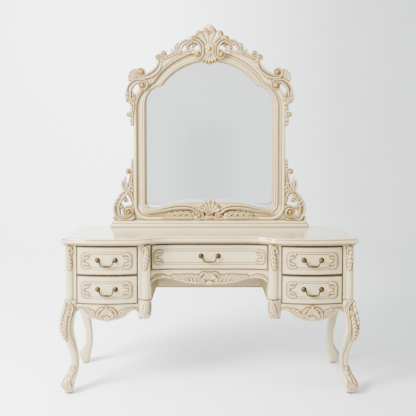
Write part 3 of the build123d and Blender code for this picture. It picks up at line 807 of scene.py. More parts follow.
def leg_rings(front):
    """Rings of a right-hand cabriole leg, and each point's place: round the section, and up."""
    curve = np.array(LEG_CURVE, float)[::-1]
    z = np.linspace(curve[0, 0], curve[-1, 0], int((curve[-1, 0] - curve[0, 0]) / CELL))
    outer = smooth_through(curve[:, 0], curve[:, 1], z)
    inner = smooth_through(curve[:, 0], curve[:, 2], z)
    angle = np.linspace(0, 2 * np.pi, LEG_SIDES, endpoint=False) - np.pi / 4
    power = LEG_SQUARENESS
    shape = (np.abs(np.cos(angle)) ** power + np.abs(np.sin(angle)) ** power) ** (-1 / power)
    half = (outer - inner)[:, None] / 2
    middle_x = (outer + inner)[:, None] / 2
    inwards = 1 if front else -1
    middle_y = leg_face_y(z, outer, front)[:, None] + inwards * half
    x = middle_x + half * shape * np.cos(angle)
    y = middle_y + half * shape * np.sin(angle)
    rings = np.stack([x, y, np.broadcast_to(z[:, None], x.shape)], axis=-1)
    gap = np.hypot(np.diff(x, axis=1, append=x[:, :1]), np.diff(y, axis=1, append=y[:, :1]))
    reach = np.cumsum(gap, axis=1) - gap
    return rings, reach, gap.sum(axis=1, keepdims=True)


def raised(rings, height):
    """Rings pushed outwards, square to the surface, by a height at each point."""
    across = np.roll(rings, -1, axis=1) - np.roll(rings, 1, axis=1)
    up = np.gradient(rings, axis=0)
    normal = np.cross(across, up)
    normal /= np.maximum(np.linalg.norm(normal, axis=2, keepdims=True), 1e-9)
    return rings + normal * height[:, :, None]


def leg_carving(carving, front):
    """Knee leaf, edge beads and foot scrolls. u is the way round from the outer corner; v is the height."""
    for side in (1, -1):
        at = on_side(side)
        if front:
            stem = at((8, 466), (22, 458), (38, 436))
            carving.band(curl(stem, side * 27, 415, 15, 90 - side * 60, -side * 1.2), [4, 6, 7, 6, 5, 3], 8,
                         flute=0.5, gilt=0.2)
            carving.ball(side * 27, 415, 6.5, 8)
            carving.leaf(at((24, 402), (21, 370), (13, 320), (4, 268)), 15, 7.5, lobes=7, lean=1.0, gilt=0.15)
            carving.band(smooth(at((46, 405), (42, 370), (37, 300), (32, 200), (28, 130), (29, 100))),
                         [3.4, 3.4, 3.0, 2.8, 2.0], 3.2, flute=0)
            carving.volute(side * 26, 44, 14, 90 - side * 100, side * 1.3, 6, stem=at((16, 82)),
                           widths=[4, 5.5, 5, 3.5], gilt=0.15)
            carving.leaf(at((24, 60), (21, 92), (12, 130)), 12, 5.5, lobes=3, gilt=0.15)
        else:
            carving.volute(side * 20, 44, 11, 90 - side * 100, side * 1.2, 4, stem=at((10, 70)), gilt=0.1)
            carving.leaf(at((14, 58), (12, 84), (6, 112)), 9, 3.5, lobes=3)
    if front:
        carving.leaf([(0, 466), (0, 430), (0, 390), (0, 350)], 11, 8.5, gilt=0.1)


def leg_part(front):
    """A right-hand leg with its carving. The carving's middle is the outer corner."""
    rings, reach, total = leg_rings(front)
    start = 0 if front else rings.shape[1] // 4
    across = (reach - reach[:, start:start + 1] + total / 2) % total - total / 2
    carving = Carving(across, rings[:, :, 2], everywhere=True)
    leg_carving(carving, front)
    return tube(raised(rings, 1.35 * carving.height), hollow_glaze(carving.height, CELL, 1.25), carving.gilt)


STILE = 14.0
BULGE = 9.0
POST_BLOCK_TOP = 474.0


def post_plan(width):
    """Plan of a front post from its stile outwards: points, and the place of each across the front."""
    shoulder = POST_FACE_Y + 2
    stile = [(x, shoulder) for x in np.linspace(0, STILE - 1.4, 8)]
    groove = [(STILE - 0.6, shoulder + 1.8), (STILE + 0.4, shoulder + 2.2), (STILE + 1.2, shoulder + 0.6)]
    turn = np.linspace(0.06, 1, 26)
    pilaster = [(STILE + (width - STILE) * t, shoulder - BULGE * math.sin(math.pi * t) ** 0.7)
                for t in turn[:-1]]
    side = [(width, y) for y in np.arange(shoulder, POST_BACK_Y, 3.5)]
    back = [(width, POST_BACK_Y), (width / 2, POST_BACK_Y), (0, POST_BACK_Y)]
    inner = [(0, (POST_BACK_Y + shoulder) / 2)]
    plan = np.array(stile + groove + pilaster + side + back + inner)
    place = np.concatenate([plan[:-len(side) - 4, 0], width + np.arange(len(side)) * 3.5, np.full(4, 900.0)])
    dark = np.zeros(len(plan))
    dark[len(stile):len(stile) + 3] = (0.8, 1.0, 0.7)
    return plan, place, dark


def post_part(width, low, carve):
    """A front post built with its stile at x = 0 and its pilaster towards +X."""
    plan, place, dark = post_plan(width)
    z = np.linspace(low, CASE_TOP, int((CASE_TOP - low) / CELL))
    rings = np.dstack([np.broadcast_to(plan[:, 0], (len(z), len(plan))),
                       np.broadcast_to(plan[:, 1], (len(z), len(plan))),
                       np.broadcast_to(z[:, None], (len(z), len(plan)))]).astype(float)
    carving = Carving(np.broadcast_to(place, rings.shape[:2]).copy(), rings[:, :, 2], everywhere=True)
    carve(carving, STILE + (width - STILE) / 2)
    glaze = hollow_glaze(carving.height, CELL, 1.3) + 0.8 * dark[None, :]
    glaze += 0.7 * np.exp(-(((z - POST_BLOCK_TOP) / 3.2) ** 2))[:, None] * (place < width + 40)
    return tube(raised(rings, carving.height), np.clip(glaze, 0, 1), carving.gilt)


def post_drop(carving, middle):
    """The leaf that hangs from the top of a post."""
    carving.volute(middle + 1, 735, 10, 200, -1.3, 7.5, stem=[(middle - 12, 712), (middle - 13, 728)],
                   gilt=0.25)
    carving.leaf([(middle + 8, 728), (middle + 4, 690), (middle - 1, 655), (middle - 3, 626)], 16, 8.5,
                 lobes=5)


def inner_post_carving(carving, middle):
    """The top leaf, and the swollen carved block that ends a post without a leg."""
    post_drop(carving, middle)
    width = INNER_POST_WIDTH
    front = carving.u < width + 40
    low = np.clip((POST_BLOCK_TOP - carving.v) / 9, 0, 1)
    foot = np.clip((carving.v - 378) / 22, 0, 1)
    clear_of_drawer = np.clip((carving.u - 2) / STILE, 0, 1)
    swell = 5 * low * np.sqrt(foot) * front * clear_of_drawer - 7 * (1 - foot) ** 2 * front
    carving.leaf([(middle + 8, 462), (middle + 6, 440), (middle, 416), (middle - 10, 394)], 17, 6.5, lobes=7,
                 lean=1.1)
    carving.line(arc(middle, 446, 24, 25, 165), 2.4, -2.2)
    carving.leaf([(width + 4, 466), (width + 14, 440), (width + 16, 405)], 12, 4)
    carving.ball(middle + 12, 396, 8, 6, 0.3)
    carving.height += swell


def back_post():
    """The plain square post over a back leg."""
    return plain_board((OUTER_POST[0], BACK_POST_Y[0], LEG_TOP), (OUTER_POST[1], BACK_POST_Y[1], CASE_TOP))


INNER_POST_FOOT = 376.0


def make_legs():
    outer_post = post_part(OUTER_POST_WIDTH, LEG_TOP, post_drop).moved(OUTER_POST[0])
    inner_post = post_part(INNER_POST_WIDTH, INNER_POST_FOOT, inner_post_carving)
    inner_post = inner_post.mirrored().moved(INNER_POST[1])
    pair("leg_front", [leg_part(True), outer_post], UPRIGHT_LACQUER)
    pair("leg_back", [leg_part(False), back_post()], UPRIGHT_LACQUER)
    pair("post_inner", [inner_post], UPRIGHT_LACQUER)


make_legs()


# ---------------------------------------------------------------- drawer fronts
FINE = 1.4
CENTRE_LINE = np.array([(0, -150), (75, -150), (150, -150), (235, -155), (300, -170)], float)


def centre_y(x):
    """Front surface of the middle drawer and its apron."""
    return smooth_through(CENTRE_LINE[:, 0], CENTRE_LINE[:, 1], np.abs(x))


def end_scrolls(carving, x, z, reach, height, way):
    """The C-scroll and leaves at one end of a drawer's panel; way is the side they open to."""
    for up in (1, -1):
        def at(*points):
            return [(x + way * dx, z + up * reach * share) for dx, share in points]
        carving.leaf(at((-8, 0), (-10, 0.4), (-4, 0.78), (9, 0.95), (27, 0.9)), 9.5, height, lobes=6,
                     lean=0.9, gilt=0.1)
        carving.ball(*at((24, 0.86))[0], 4.6, height * 1.1, 0.3)
        carving.band(smooth(at((-4, 0.30), (5, 0.40), (13, 0.50), (19, 0.42))), [3.0, 4.0, 3.6, 2.6],
                     height * 0.9, flute=0.2)
    carving.ball(x - 9 * way, z, 5.6, height * 1.1, 0.3)


def drawer_front(node, surface, ends, frame_lines):
    """A drawer front with double moulding lines above and below, and a carved scroll at each end."""
    (x0, _, z0), (x1, back_y, z1) = corners(node)
    u, v = grid((x0, z0), (x1, z1), FINE)
    carving = Carving(u, v, everywhere=True)
    middle = (x0 + x1) / 2
    low_x, high_x = middle - ends, middle + ends
    for edge, inwards in ((z0, 1), (z1, -1)):
        for offset, depth in frame_lines:
            at = edge + inwards * offset
            carving.line([(low_x + 4, at), (high_x - 4, at)], 1.9, depth)
    reach = 0.87 * ((z1 - z0) / 2 - frame_lines[0][0] - 3)
    for end, way in ((low_x, 1), (high_x, -1)):
        end_scrolls(carving, end, (z0 + z1) / 2, reach, SCROLL_HEIGHT, way)
    border = np.minimum(0.8 * np.minimum(u - x0, x1 - u), np.minimum(v - z0, z1 - v))
    glaze = hollow_glaze(carving.height, FINE, 1.2)
    # The edges of the front are darkened to near black: glaze, and painted shade of the gap round the drawer.
    glaze = np.clip(glaze + 4.0 * np.exp(-((border / GAP_SHADE_AND_GLAZE_WIDTH) ** 2)), 0, 1)
    carving.height -= 2.4 * np.clip(1 - border / 2.2, 0, 1) ** 2

    def place(x, z, height):
        back = height < 0.1 - BACK_MARK
        return np.column_stack([x, np.where(back, back_y, surface(x) - height), z])
    return relief(carving, place, BACK_MARK, FINE, glaze)


SCROLL_HEIGHT = 6.5
# Width of the dark edge: glaze, and painted shade of the gap.
GAP_SHADE_AND_GLAZE_WIDTH = 3.8
BACK_MARK = 3.0  # a height below every groove, which stands for the back of a drawer front
# Moulding lines: distance from the upper and lower edges, and height.
SIDE_LINES = ((27.0, -1.9), (31.0, 1.2), (38.0, -1.9))
CENTRE_LINES = ((24.0, -1.9), (28.0, 1.2), (35.0, -1.9))
SIDE_ENDS, CENTRE_ENDS = 110, 268  # from the middle of a front to its end scrolls


def make_drawer_fronts():
    for level in ("upper", "lower"):
        part = drawer_front(f"drawer_front_{level}_right", bow_y, SIDE_ENDS, SIDE_LINES)
        pair(f"drawer_front_{level}", [part], LEVEL_LACQUER, f"drawer_{level}")
    part = drawer_front("drawer_front_centre", centre_y, CENTRE_ENDS, CENTRE_LINES)
    piece("drawer_front_centre", [part], LEVEL_LACQUER, "drawer_centre")


make_drawer_fronts()


# ---------------------------------------------------------------- mirror frame and glass
PLINTH_LOW, PLINTH_HIGH = corners("mirror_plinth")
FRAME_BASE = PLINTH_HIGH[2]
RAIL_LOW, RAIL_HIGH = corners("mirror_rail_bottom")
FRAME_HALF = RAIL_HIGH[0]
FRAME_FRONT, FRAME_BACK = RAIL_LOW[1], RAIL_HIGH[1]
GLASS_FRONT, GLASS_BACK = (corner[1] for corner in corners("mirror_glass"))
GLASS_HALF = 357.0
CARVED_CREASE = 60
# An arch is its circle's height and radius; a shoulder is its circle's place across, height and radius.
INNER_ARCH, INNER_SHOULDER = (1397.0, 328.0), (259.5, 1491.0, 97.5)
OUTER_ARCH, OUTER_SHOULDER = (1414.0, 386.0), (239.3, 1445.0, 191.7)
SILL_WAVE = [(0, 925), (70, 929), (130, 927), (200, 916), (265, 901), (327, 897)]
SILL_CORNER, BASE_CORNER = 30.0, 78.0
# Face of the frame from its outer edge inwards: place across, height over the back, glaze. The glaze in the
# coves is glaze with painted shade, and on the inner rim by the glass it is painted shade.
FRAME_PROFILE = [(0, 6, 0.4), (0, 24, 0.2), (1.2, 29, 0.0), (4, 32.5, 0), (8.5, 34.6, 0), (13.5, 34.2, 0),
                 (17, 31.5, 0.05), (18.8, 28.5, 0.7), (20, 25.5, 0.8), (22.5, 21.5, 0.5), (26, 18.6, 0.36),
                 (31, 17.4, 0.28), (36, 18.8, 0.22), (40, 21.6, 0.25), (41.6, 23.4, 0.8), (42.6, 26.4, 0.35),
                 (44, 27.6, 0), (48, 28.2, 0), (51.5, 27.6, 0.05), (53, 25.2, 0.9), (54.2, 24.6, 0.6),
                 (56, 26.6, 0), (59, 27.6, 0), (62, 26.4, 0.05), (64, 22.8, 0.85), (65.5, 20.4, 0.6),
                 (68, 18.2, 0.35), (71, 16.4, 0.42), (73.4, 13.6, 0.6), (74.5, 10.4, 0.9), (74.5, 4, 0.9)]
MEMBER = FRAME_PROFILE[-1][0]


def circles_meet(arch, shoulder):
    """The upper point where the arch's circle crosses the shoulder's."""
    (arch_z, arch_r), (x, z, r) = arch, shoulder
    apart = math.hypot(x, z - arch_z)
    reach = (arch_r**2 - r**2 + apart**2) / (2 * apart)
    across = math.sqrt(arch_r**2 - reach**2)
    ux, uz = x / apart, (z - arch_z) / apart
    return reach * ux - across * uz, arch_z + reach * uz + across * ux


def upper_half(arch, shoulder):
    """From the foot of the shoulder, over the cusp, to the top of the arch."""
    x, z, r = shoulder
    cusp = circles_meet(arch, shoulder)
    first = arc(x, z, r, 0, math.degrees(math.atan2(cusp[1] - z, cusp[0] - x)), 26)
    second = arc(0, arch[0], arch[1], math.degrees(math.atan2(cusp[1] - arch[0], cusp[0])), 90, 44)
    return first, second


def joined(runs):
    """One line from runs that each start where the last one ends."""
    return np.vstack([runs[0], *(run[1:] for run in runs[1:])])


def frame_outlines():
    """The outer and inner outline of the mirror frame, anticlockwise seen from the front, point for point."""
    outer_first, outer_second = upper_half(OUTER_ARCH, OUTER_SHOULDER)
    inner_first, inner_second = upper_half(INNER_ARCH, INNER_SHOULDER)
    edge = FRAME_HALF - BASE_CORNER
    outer = [np.linspace((0, FRAME_BASE), (edge, FRAME_BASE), 40),
             arc(edge, FRAME_BASE + BASE_CORNER, BASE_CORNER, -90, 0, 16),
             np.linspace((FRAME_HALF, FRAME_BASE + BASE_CORNER), (FRAME_HALF, OUTER_SHOULDER[1]), 30),
             outer_first, outer_second]
    corner_x, corner_z = GLASS_HALF - SILL_CORNER, SILL_WAVE[-1][1] + SILL_CORNER
    inner = [resampled(smooth(SILL_WAVE), 40),
             arc(corner_x, corner_z, SILL_CORNER, -90, 0, 16),
             np.linspace((GLASS_HALF, corner_z), (GLASS_HALF, INNER_SHOULDER[1]), 30),
             inner_first, inner_second]
    return closed(joined(outer)), closed(joined(inner))


def make_frame():
    """The moulded frame, and the square corners of its base behind the brackets."""
    outer, inner = frame_outlines()
    profile = np.array([(0, 0, 0.3), (MEMBER, 0, 0.3), *FRAME_PROFILE[::-1]])
    share = profile[:, 0] / MEMBER
    flat = outer[:, None, :] + (inner - outer)[:, None, :] * share[None, :, None]
    y = FRAME_BACK - np.broadcast_to(profile[:, 1], flat.shape[:2])
    rings = np.dstack([flat[:, :, 0], y, flat[:, :, 1]])
    part = tube(rings, np.broadcast_to(profile[:, 2], flat.shape[:2]), loop=True)
    corner = plain_board((FRAME_HALF - BASE_CORNER, FRAME_BACK - 20, FRAME_BASE),
                         (FRAME_HALF + 30, FRAME_BACK, FRAME_BASE + BASE_CORNER + 8))
    nodes = ["mirror_rail_bottom", "mirror_arch", "mirror_stile_left", "mirror_stile_right"]
    parts = [part, corner, corner.mirrored()]
    piece("mirror_frame", parts, CARVED_LACQUER, replaces=nodes, crease=CARVED_CREASE)


BEVEL, BEVEL_DEPTH = 15.0, 0.5
REBATE = 8.0


def make_glass():
    """Silvered glass with a wide bevel all round, let into the rebate of the frame."""
    _, opening = frame_outlines()
    way = inward(opening, 6)
    rings, tint = [], []
    steps = [(-REBATE, GLASS_BACK, 0.4), (-REBATE, GLASS_FRONT + BEVEL_DEPTH + 0.6, 1),
             (0, GLASS_FRONT + BEVEL_DEPTH, 1), (BEVEL - 1, GLASS_FRONT + 0.1, 1), (BEVEL, GLASS_FRONT, 0),
             (BEVEL + 1, GLASS_FRONT, 0)]
    for distance, y, shade in steps:
        ring = opening + distance * way
        rings.append(np.column_stack([ring[:, 0], np.full(len(ring), y), ring[:, 1]]))
        tint.append(shade)
    pane = rings[-1]
    for share in (0.6, 0.2):
        rings.append(pane.mean(0) + share * (pane - pane.mean(0)))
        tint.append(0)
    part = tube(rings, np.array(tint, float)[:, None])
    piece("mirror_glass", [part], SILVER, slot="mirror_silver", crease=3)


# Moulding of the plinth from its foot up: inset, height, glaze. The dark glaze at the foot is painted shadow
# where the plinth sits on the top.
PLINTH_STEPS = [(5, 0, 0.9), (1.5, 1.5, 0.5), (0, 4, 0.05), (0, 10, 0), (1.2, 15, 0), (4, 18.4, 0.1),
                (8, 20, 0.6), (9, 21, 1.0), (10, 24, 0.25), (13, 29, 0.05), (17, 33, 0.0), (21, 35, 0.2),
                (22.5, 36, 0.8), (22.5, 39, 0.5)]


def rounded_outline(low, high, radius, steps=10):
    """A rectangle with round corners, anticlockwise seen from above."""
    (x0, y0), (x1, y1) = low, high
    turns = [(x1 - radius, y0 + radius, -90), (x1 - radius, y1 - radius, 0),
             (x0 + radius, y1 - radius, 90), (x0 + radius, y0 + radius, 180)]
    return np.vstack([arc(x, y, radius, start, start + 90, steps) for x, y, start in turns])


def make_plinth():
    rings, shade = [], []
    for distance, up, glaze in PLINTH_STEPS:
        ring = rounded_outline(PLINTH_LOW[:2] + (distance, distance), PLINTH_HIGH[:2] - (distance, 0), 14)
        rings.append(np.column_stack([ring, np.full(len(ring), PLINTH_LOW[2] + up)]))
        shade.append(glaze)
    part = tube(rings, np.array(shade)[:, None])
    piece("mirror_plinth", [part], LEVEL_LACQUER)


make_frame()
make_glass()
make_plinth()


# ---------------------------------------------------------------- carved ornament of the mirror
ORNAMENT_CELL = 1.6
ORNAMENT_THICKNESS = 20.0
ORNAMENT_BASE = FRAME_FRONT + 3.0
BRACKET_BASE = FRAME_FRONT + 12.0


def ornament(low, high, carve, base=ORNAMENT_BASE):
    """A pierced ornament between two corners, carved on an upright plane."""
    carving = Carving(*grid(low, high, ORNAMENT_CELL))
    carve(carving)
    glaze = np.clip(0.16 + hollow_glaze(carving.height, ORNAMENT_CELL, 1.7), 0, 1)

    def place(x, z, height):
        return np.column_stack([x, base - height, z])
    return relief(carving, place, ORNAMENT_THICKNESS, ORNAMENT_CELL, glaze)


def crest_carving(carving):
    """A tall shell over a gilt boss, with a fan below, and scrolls and leaves to each side."""
    carving.shell(0, 1800, 90, 144, 8, 116, 23, ribs=6, droop=-0.12, lip=1.0)
    carving.ball(0, 1905, 28, 21)
    carving.band(arc(0, 1904, 24, 200, 340), [2.5, 4.5, 2.5], 22, flute=0, gilt=1.0)
    for side in (1, -1):
        at = on_side(side)
        # a band along the arch, under leaves and curls
        carving.band(arc(0, 1414, 391, 90 - side * 14, 90 - side * 48, 40), [9, 10, 12, 14, 12], 9, flute=0)
        carving.band(smooth(at((118, 1776), (160, 1772), (200, 1760), (240, 1738), (280, 1712))),
                     [13, 13, 12, 11, 9], 10, gilt=0.2)
        carving.band(smooth(at((96, 1830), (125, 1838), (148, 1828), (164, 1808), (172, 1778))),
                     [9, 14, 16, 14, 9], 20, flute=0.25, gilt=0.5)
        carving.band(smooth(at((158, 1826), (178, 1820), (190, 1804), (186, 1788))), [5, 9, 10, 6], 18,
                     flute=0.25, gilt=0.7)
        carving.band(smooth(at((166, 1776), (188, 1776), (204, 1782), (211, 1791))), [9, 11, 9, 7], 17,
                     flute=0.25, gilt=0.8)
        carving.band(smooth(at((178, 1768), (208, 1764), (232, 1752), (248, 1744))), [7, 10, 10, 7], 15,
                     flute=0.35, gilt=0.5)
        carving.volute(side * 254, 1766, 16, 90 - side * 150, side * 1.1, 15,
                       stem=at((214, 1768), (236, 1750)), widths=[8, 10, 9, 6], gilt=0.9)
        carving.ball(side * 268, 1734, 16, 9)
        # arms beside the boss
        stem = at((128, 1802), (120, 1826), (94, 1842), (64, 1834), (44, 1806), (42, 1776))
        carving.band(curl(stem, side * 66, 1765, 23, 90 + side * 100, side * 0.9),
                     [6, 12, 14, 14, 13, 11, 8, 6], 25, flute=0.35, gilt=0.45)
        carving.ball(side * 67, 1765, 17, 28, 1.0)
        carving.leaf(at((92, 1832), (116, 1818), (122, 1792)), 13, 20, lobes=3, gilt=0.6)
        carving.leaf(at((72, 1822), (90, 1812), (98, 1798)), 10, 17, lobes=2, gilt=0.4)
        carving.ball(side * 25, 1794, 7, 17, 1.0)
    carving.shell(0, 1800, -90, 92, 12, 90, 18, ribs=7, droop=0.1, lip=1.0)
    carving.leaf([(0, 1784), (0, 1762), (0, 1738)], 12, 19, lobes=3)
    carving.ball(0, 1792, 42, 17)
    carving.ball(0, 1793, 18, 22, 1.0)


def shoulder_carving(carving):
    """The right-hand ear: a concave band to a volute, a palmette, and a scroll with trailing leaves."""
    carving.shell(408, 1632, 42, 132, 2, 56, 14, ribs=6, droop=0.06)
    stem = [(285, 1742), (280, 1714), (293, 1683), (320, 1658), (350, 1644), (374, 1639)]
    carving.band(curl(stem, 383, 1664, 24, -75, 1.2, eye=0.25), [9, 15, 19, 19, 17, 14, 11, 8, 6], 19,
                 flute=0.4, gilt=0.45)
    carving.ball(383, 1664, 14, 23, 1.0)
    carving.band(smooth([(268, 1706), (296, 1680), (330, 1650), (372, 1622), (400, 1606)]),
                 [12, 18, 20, 16, 10], 9, flute=0)
    carving.band(arc(239, 1445, 195, 48, 14, 20), [12, 10, 8], 8, flute=0)
    carving.ball(345, 1618, 20, 8)
    carving.ball(326, 1628, 15, 7)
    carving.volute(286, 1745, 16, 200, -1.1, 17, widths=[8, 10, 9, 6], gilt=0.9)
    # the main scroll
    stem = [(444, 1496), (455, 1528), (454, 1566), (438, 1596), (412, 1614), (386, 1612)]
    carving.band(curl(stem, 379, 1590, 25, 110, 1.15, eye=0.25), [8, 15, 18, 18, 16, 14, 11, 8, 6], 21,
                 flute=0.42, gilt=0.5)
    carving.ball(379, 1590, 15, 25, 1.0)
    carving.leaf([(462, 1564), (464, 1520), (438, 1484)], 20, 21, lobes=3, gilt=0.5)
    carving.leaf([(438, 1552), (426, 1526), (434, 1484)], 15, 18, lobes=3, gilt=0.5)
    carving.leaf([(446, 1524), (432, 1480), (440, 1432)], 18, 17, lobes=4, gilt=0.5)
    carving.leaf([(430, 1470), (436, 1440), (454, 1418)], 15, 15, lobes=3, gilt=0.6)
    carving.volute(454, 1424, 13, 180, -1.1, 14, widths=[6, 7, 5], gilt=0.9)
    carving.leaf([(434, 1442), (438, 1400), (438, 1360)], 15, 12, lobes=3, gilt=0.8)


def bracket_carving(carving):
    """The pierced scroll between the right-hand stile and the plinth."""
    carving.leaf([(440, 1100), (436, 1140), (436, 1178)], 15, 11, lobes=4, gilt=0.8)
    stem = [(478, 840), (514, 846), (528, 876), (526, 914), (504, 956), (474, 992), (454, 1032), (445, 1080)]
    carving.band(curl(stem, 461, 1101, 17, 180, -1.0), [13, 18, 21, 20, 19, 17, 15, 13, 11, 8, 6, 5], 19,
                 flute=0.4, gilt=0.4)
    carving.ball(463, 1101, 12, 19, 1.0)
    # lower volute, which opens towards the frame
    stem = [(536, 862), (518, 840), (490, 834), (458, 836)]
    carving.band(curl(stem, 461, 872, 36, 228, -1.35, eye=0.22), [8, 13, 15, 15, 14, 12, 11, 9, 6], 21,
                 flute=0.42, gilt=0.5)
    carving.ball(461, 873, 12, 22, 1.0)
    # outer leaves
    carving.band(smooth([(462, 1004), (476, 1024), (482, 1048), (480, 1070)]), [8, 9, 8, 5], 15, flute=0.25,
                 gilt=0.6)
    carving.band(smooth([(474, 988), (490, 1006), (497, 1028), (496, 1048)]), [8, 8, 7, 5], 14, flute=0.25,
                 gilt=0.6)
    carving.leaf([(500, 960), (514, 944), (532, 902)], 17, 19, lobes=3, gilt=0.5)
    # inner scroll and leaves
    carving.band(smooth([(438, 930), (446, 958), (464, 980), (488, 980), (508, 956)]), [9, 13, 14, 13, 10],
                 17, flute=0.4, gilt=0.5)
    carving.leaf([(494, 966), (482, 942), (464, 930)], 17, 18, lobes=3, gilt=0.6)
    carving.leaf([(450, 1052), (444, 1012), (448, 966)], 19, 15, lobes=4, gilt=0.5)
    carving.leaf([(508, 914), (498, 898), (490, 876)], 15, 17, lobes=2, gilt=0.5)
    carving.band(smooth([(432, 826), (434, 980), (436, 1060), (437, 1120)]), [16, 11, 9, 6], 8)
    carving.leaf([(504, 836), (530, 841), (552, 834)], 15, 12, lobes=3, gilt=0.6)
    carving.inside = np.minimum(carving.inside, carving.v - FRAME_BASE)


def sill_carving(carving):
    """The shell on the bottom rail between two volutes, with leaf sprays."""
    carving.shell(0, 866, 90, 158, 6, 74, 18, ribs=7, droop=0.06)
    carving.shell(0, 878, -90, 76, 6, 48, 14, ribs=5, droop=0.1, lip=0.8)
    for side in (1, -1):
        at = on_side(side)
        stem = at((356, 868), (300, 880), (240, 894), (180, 904), (128, 904), (88, 894), (66, 876))
        carving.band(curl(stem, side * 58, 851, 21, 90 + side * 10, side * 1.1),
                     [4, 8, 11, 13, 14, 14, 13, 10, 7, 5], 16, gilt=0.25)
        carving.ball(side * 58, 851, 11, 18, 0.9)
        for foot, size in ((102, 1.0), (136, 1.0), (170, 0.9), (204, 0.75)):
            feather = [(foot + x * size, 842 + z * size)
                       for x, z in ((0, 0), (10, 18), (28, 29), (44, 22), (47, 12))]
            carving.band(smooth(at(*feather)), [7, 11, 10, 7, 5], 15, flute=0.3, gilt=0.7)
        carving.band(smooth(at((98, 841), (170, 840), (236, 842), (272, 838))), [8, 9, 8, 5], 11, flute=0,
                     gilt=0.4)
        carving.band(smooth(at((100, 854), (170, 854), (228, 850))), [16, 15, 9], 6, flute=0)
    carving.band(np.linspace((-18, 863), (18, 863), 8), [5, 7, 5], 20, flute=0, gilt=1.0)
    carving.inside = np.minimum(carving.inside, carving.v - FRAME_BASE)


def make_ornament():
    finish = {"slot": "carved_gilt_cream", "crease": CARVED_CREASE}
    foot = FRAME_BASE - 4
    piece("crest", [ornament((-310, 1690), (310, 1940), crest_carving)], CARVED_LACQUER, **finish)
    piece("sill_shell", [ornament((-360, foot), (360, 945), sill_carving)], CARVED_LACQUER, **finish)
    scroll = ornament((270, 1360), (475, 1775), shoulder_carving)
    bracket = ornament((428, foot), (560, 1182), bracket_carving, BRACKET_BASE)
    pair("shoulder_scroll", [scroll], CARVED_LACQUER, **finish)
    pair("side_bracket", [bracket], CARVED_LACQUER, **finish)


make_ornament()


# ---------------------------------------------------------------- aprons
# Lower edge of each apron from its middle outwards: place across, height.
PEDESTAL_APRON = [(0, 368), (45, 376), (85, 388), (120, 414), (145, 419), (157.2, 408)]
CENTRE_APRON = [(0, 536), (45, 541), (105, 545), (160, 557), (200, 568), (240, 573), (275, 568), (300, 550)]


def apron_edge(places, u):
    """Height of an apron's lower edge, which is the same on both sides of its middle."""
    line = np.array(places, float)
    return smooth_through(line[:, 0], line[:, 1], np.clip(np.abs(u), 0, line[-1, 0]))


def edge_bead(carving, places, up, width, height):
    """A raised bead that follows the lower edge."""
    reach = places[-1][0]
    u = np.linspace(-reach, reach, 160)
    carving.band(np.column_stack([u, apron_edge(places, u) + up]), [width, width], height, flute=0)


def pedestal_apron_carving(carving):
    edge_bead(carving, PEDESTAL_APRON, 4.0, 4.5, 4)
    carving.shell(0, 398, 90, 168, 5, 37, 9, ribs=7, droop=0.1, lip=0.35)
    carving.leaf([(0, 414), (0, 428), (0, 446)], 10, 10, lobes=2, gilt=0.2)
    carving.shell(0, 398, -90, 120, 4, 28, 9, ribs=5, droop=0.1, lip=0.3)
    for side in (1, -1):
        at = on_side(side)
        stem = at((18, 436), (34, 428), (46, 410))
        carving.band(curl(stem, side * 32, 395, 15, 90 - side * 60, -side * 1.2), [3, 5, 6, 6, 5, 4], 11,
                     gilt=0.2)
        carving.ball(side * 32, 395, 7.5, 12)
        carving.leaf(at((46, 388), (64, 402), (76, 424)), 12, 9, lobes=4, gilt=0.3)
        carving.leaf(at((70, 396), (84, 416), (104, 432)), 11, 8, lobes=4, gilt=0.25)
        carving.band(smooth(at((60, 386), (84, 398), (108, 422), (128, 430), (148, 426))), [3, 4, 4.5, 4, 3],
                     7, gilt=0.25)
        carving.volute(side * 144, 424, 9, 90 - side * 60, -side * 1.1, 8, gilt=0.2)


def centre_apron_carving(carving):
    edge_bead(carving, CENTRE_APRON, 4.0, 5, 4.5)
    carving.shell(0, 560, 90, 150, 5, 42, 11, ribs=7, droop=0.1, lip=0.4)
    carving.shell(0, 560, -90, 120, 4, 26, 10, ribs=5, droop=0.1, lip=0.3)
    for side in (1, -1):
        at = on_side(side)
        stem = at((20, 598), (38, 594), (52, 578))
        carving.band(curl(stem, side * 38, 561, 15, 90 - side * 60, -side * 1.2), [3, 5, 6, 6, 5, 4], 12,
                     gilt=0.25)
        carving.ball(side * 38, 561, 7.5, 13)
        for foot, lean, reach in ((54, 14, 34), (72, 20, 38), (91, 25, 36), (111, 30, 31), (131, 33, 24),
                                  (151, 33, 15)):
            floor = apron_edge(CENTRE_APRON, foot) + 9
            feather = [(foot + across * lean, floor + up * reach)
                       for across, up in ((0, 0), (0.35, 0.55), (1, 0.9), (1.35, 0.82))]
            carving.band(smooth(at(*feather)), [5, 8, 7, 4], 10, flute=0.35, gilt=0.25)
        carving.volute(side * 199, 571, 8, 90 + side * 40, side * 1.1, 8, stem=at((172, 584), (190, 586)),
                       gilt=0.2)
        carving.volute(side * 219, 573, 8, 90 - side * 40, -side * 1.1, 8,
                       stem=at((296, 562), (276, 584), (246, 588), (230, 584)), gilt=0.2)


APRON_THICKNESS = 20.0


def apron(node, middle, places, surface, carve):
    """A shaped board with a carved face; its face height is laid over a surface."""
    top = corners(node)[1][2]
    reach = places[-1][0]
    lowest = min(z for _, z in places)
    carving = Carving(*grid((-reach, lowest - 4), (reach, top), FINE), everywhere=True)
    carve(carving)
    carving.inside = carving.v - apron_edge(places, carving.u)
    glaze = 0.05 + hollow_glaze(carving.height, FINE, 1.2)
    glaze = np.clip(glaze + 0.5 * np.exp(-(((top - carving.v - 5) / 1.6) ** 2)), 0, 1)

    def place(u, z, height):
        return np.column_stack([u + middle, surface(u + middle) - height, z])
    return relief(carving, place, APRON_THICKNESS, FINE, glaze)


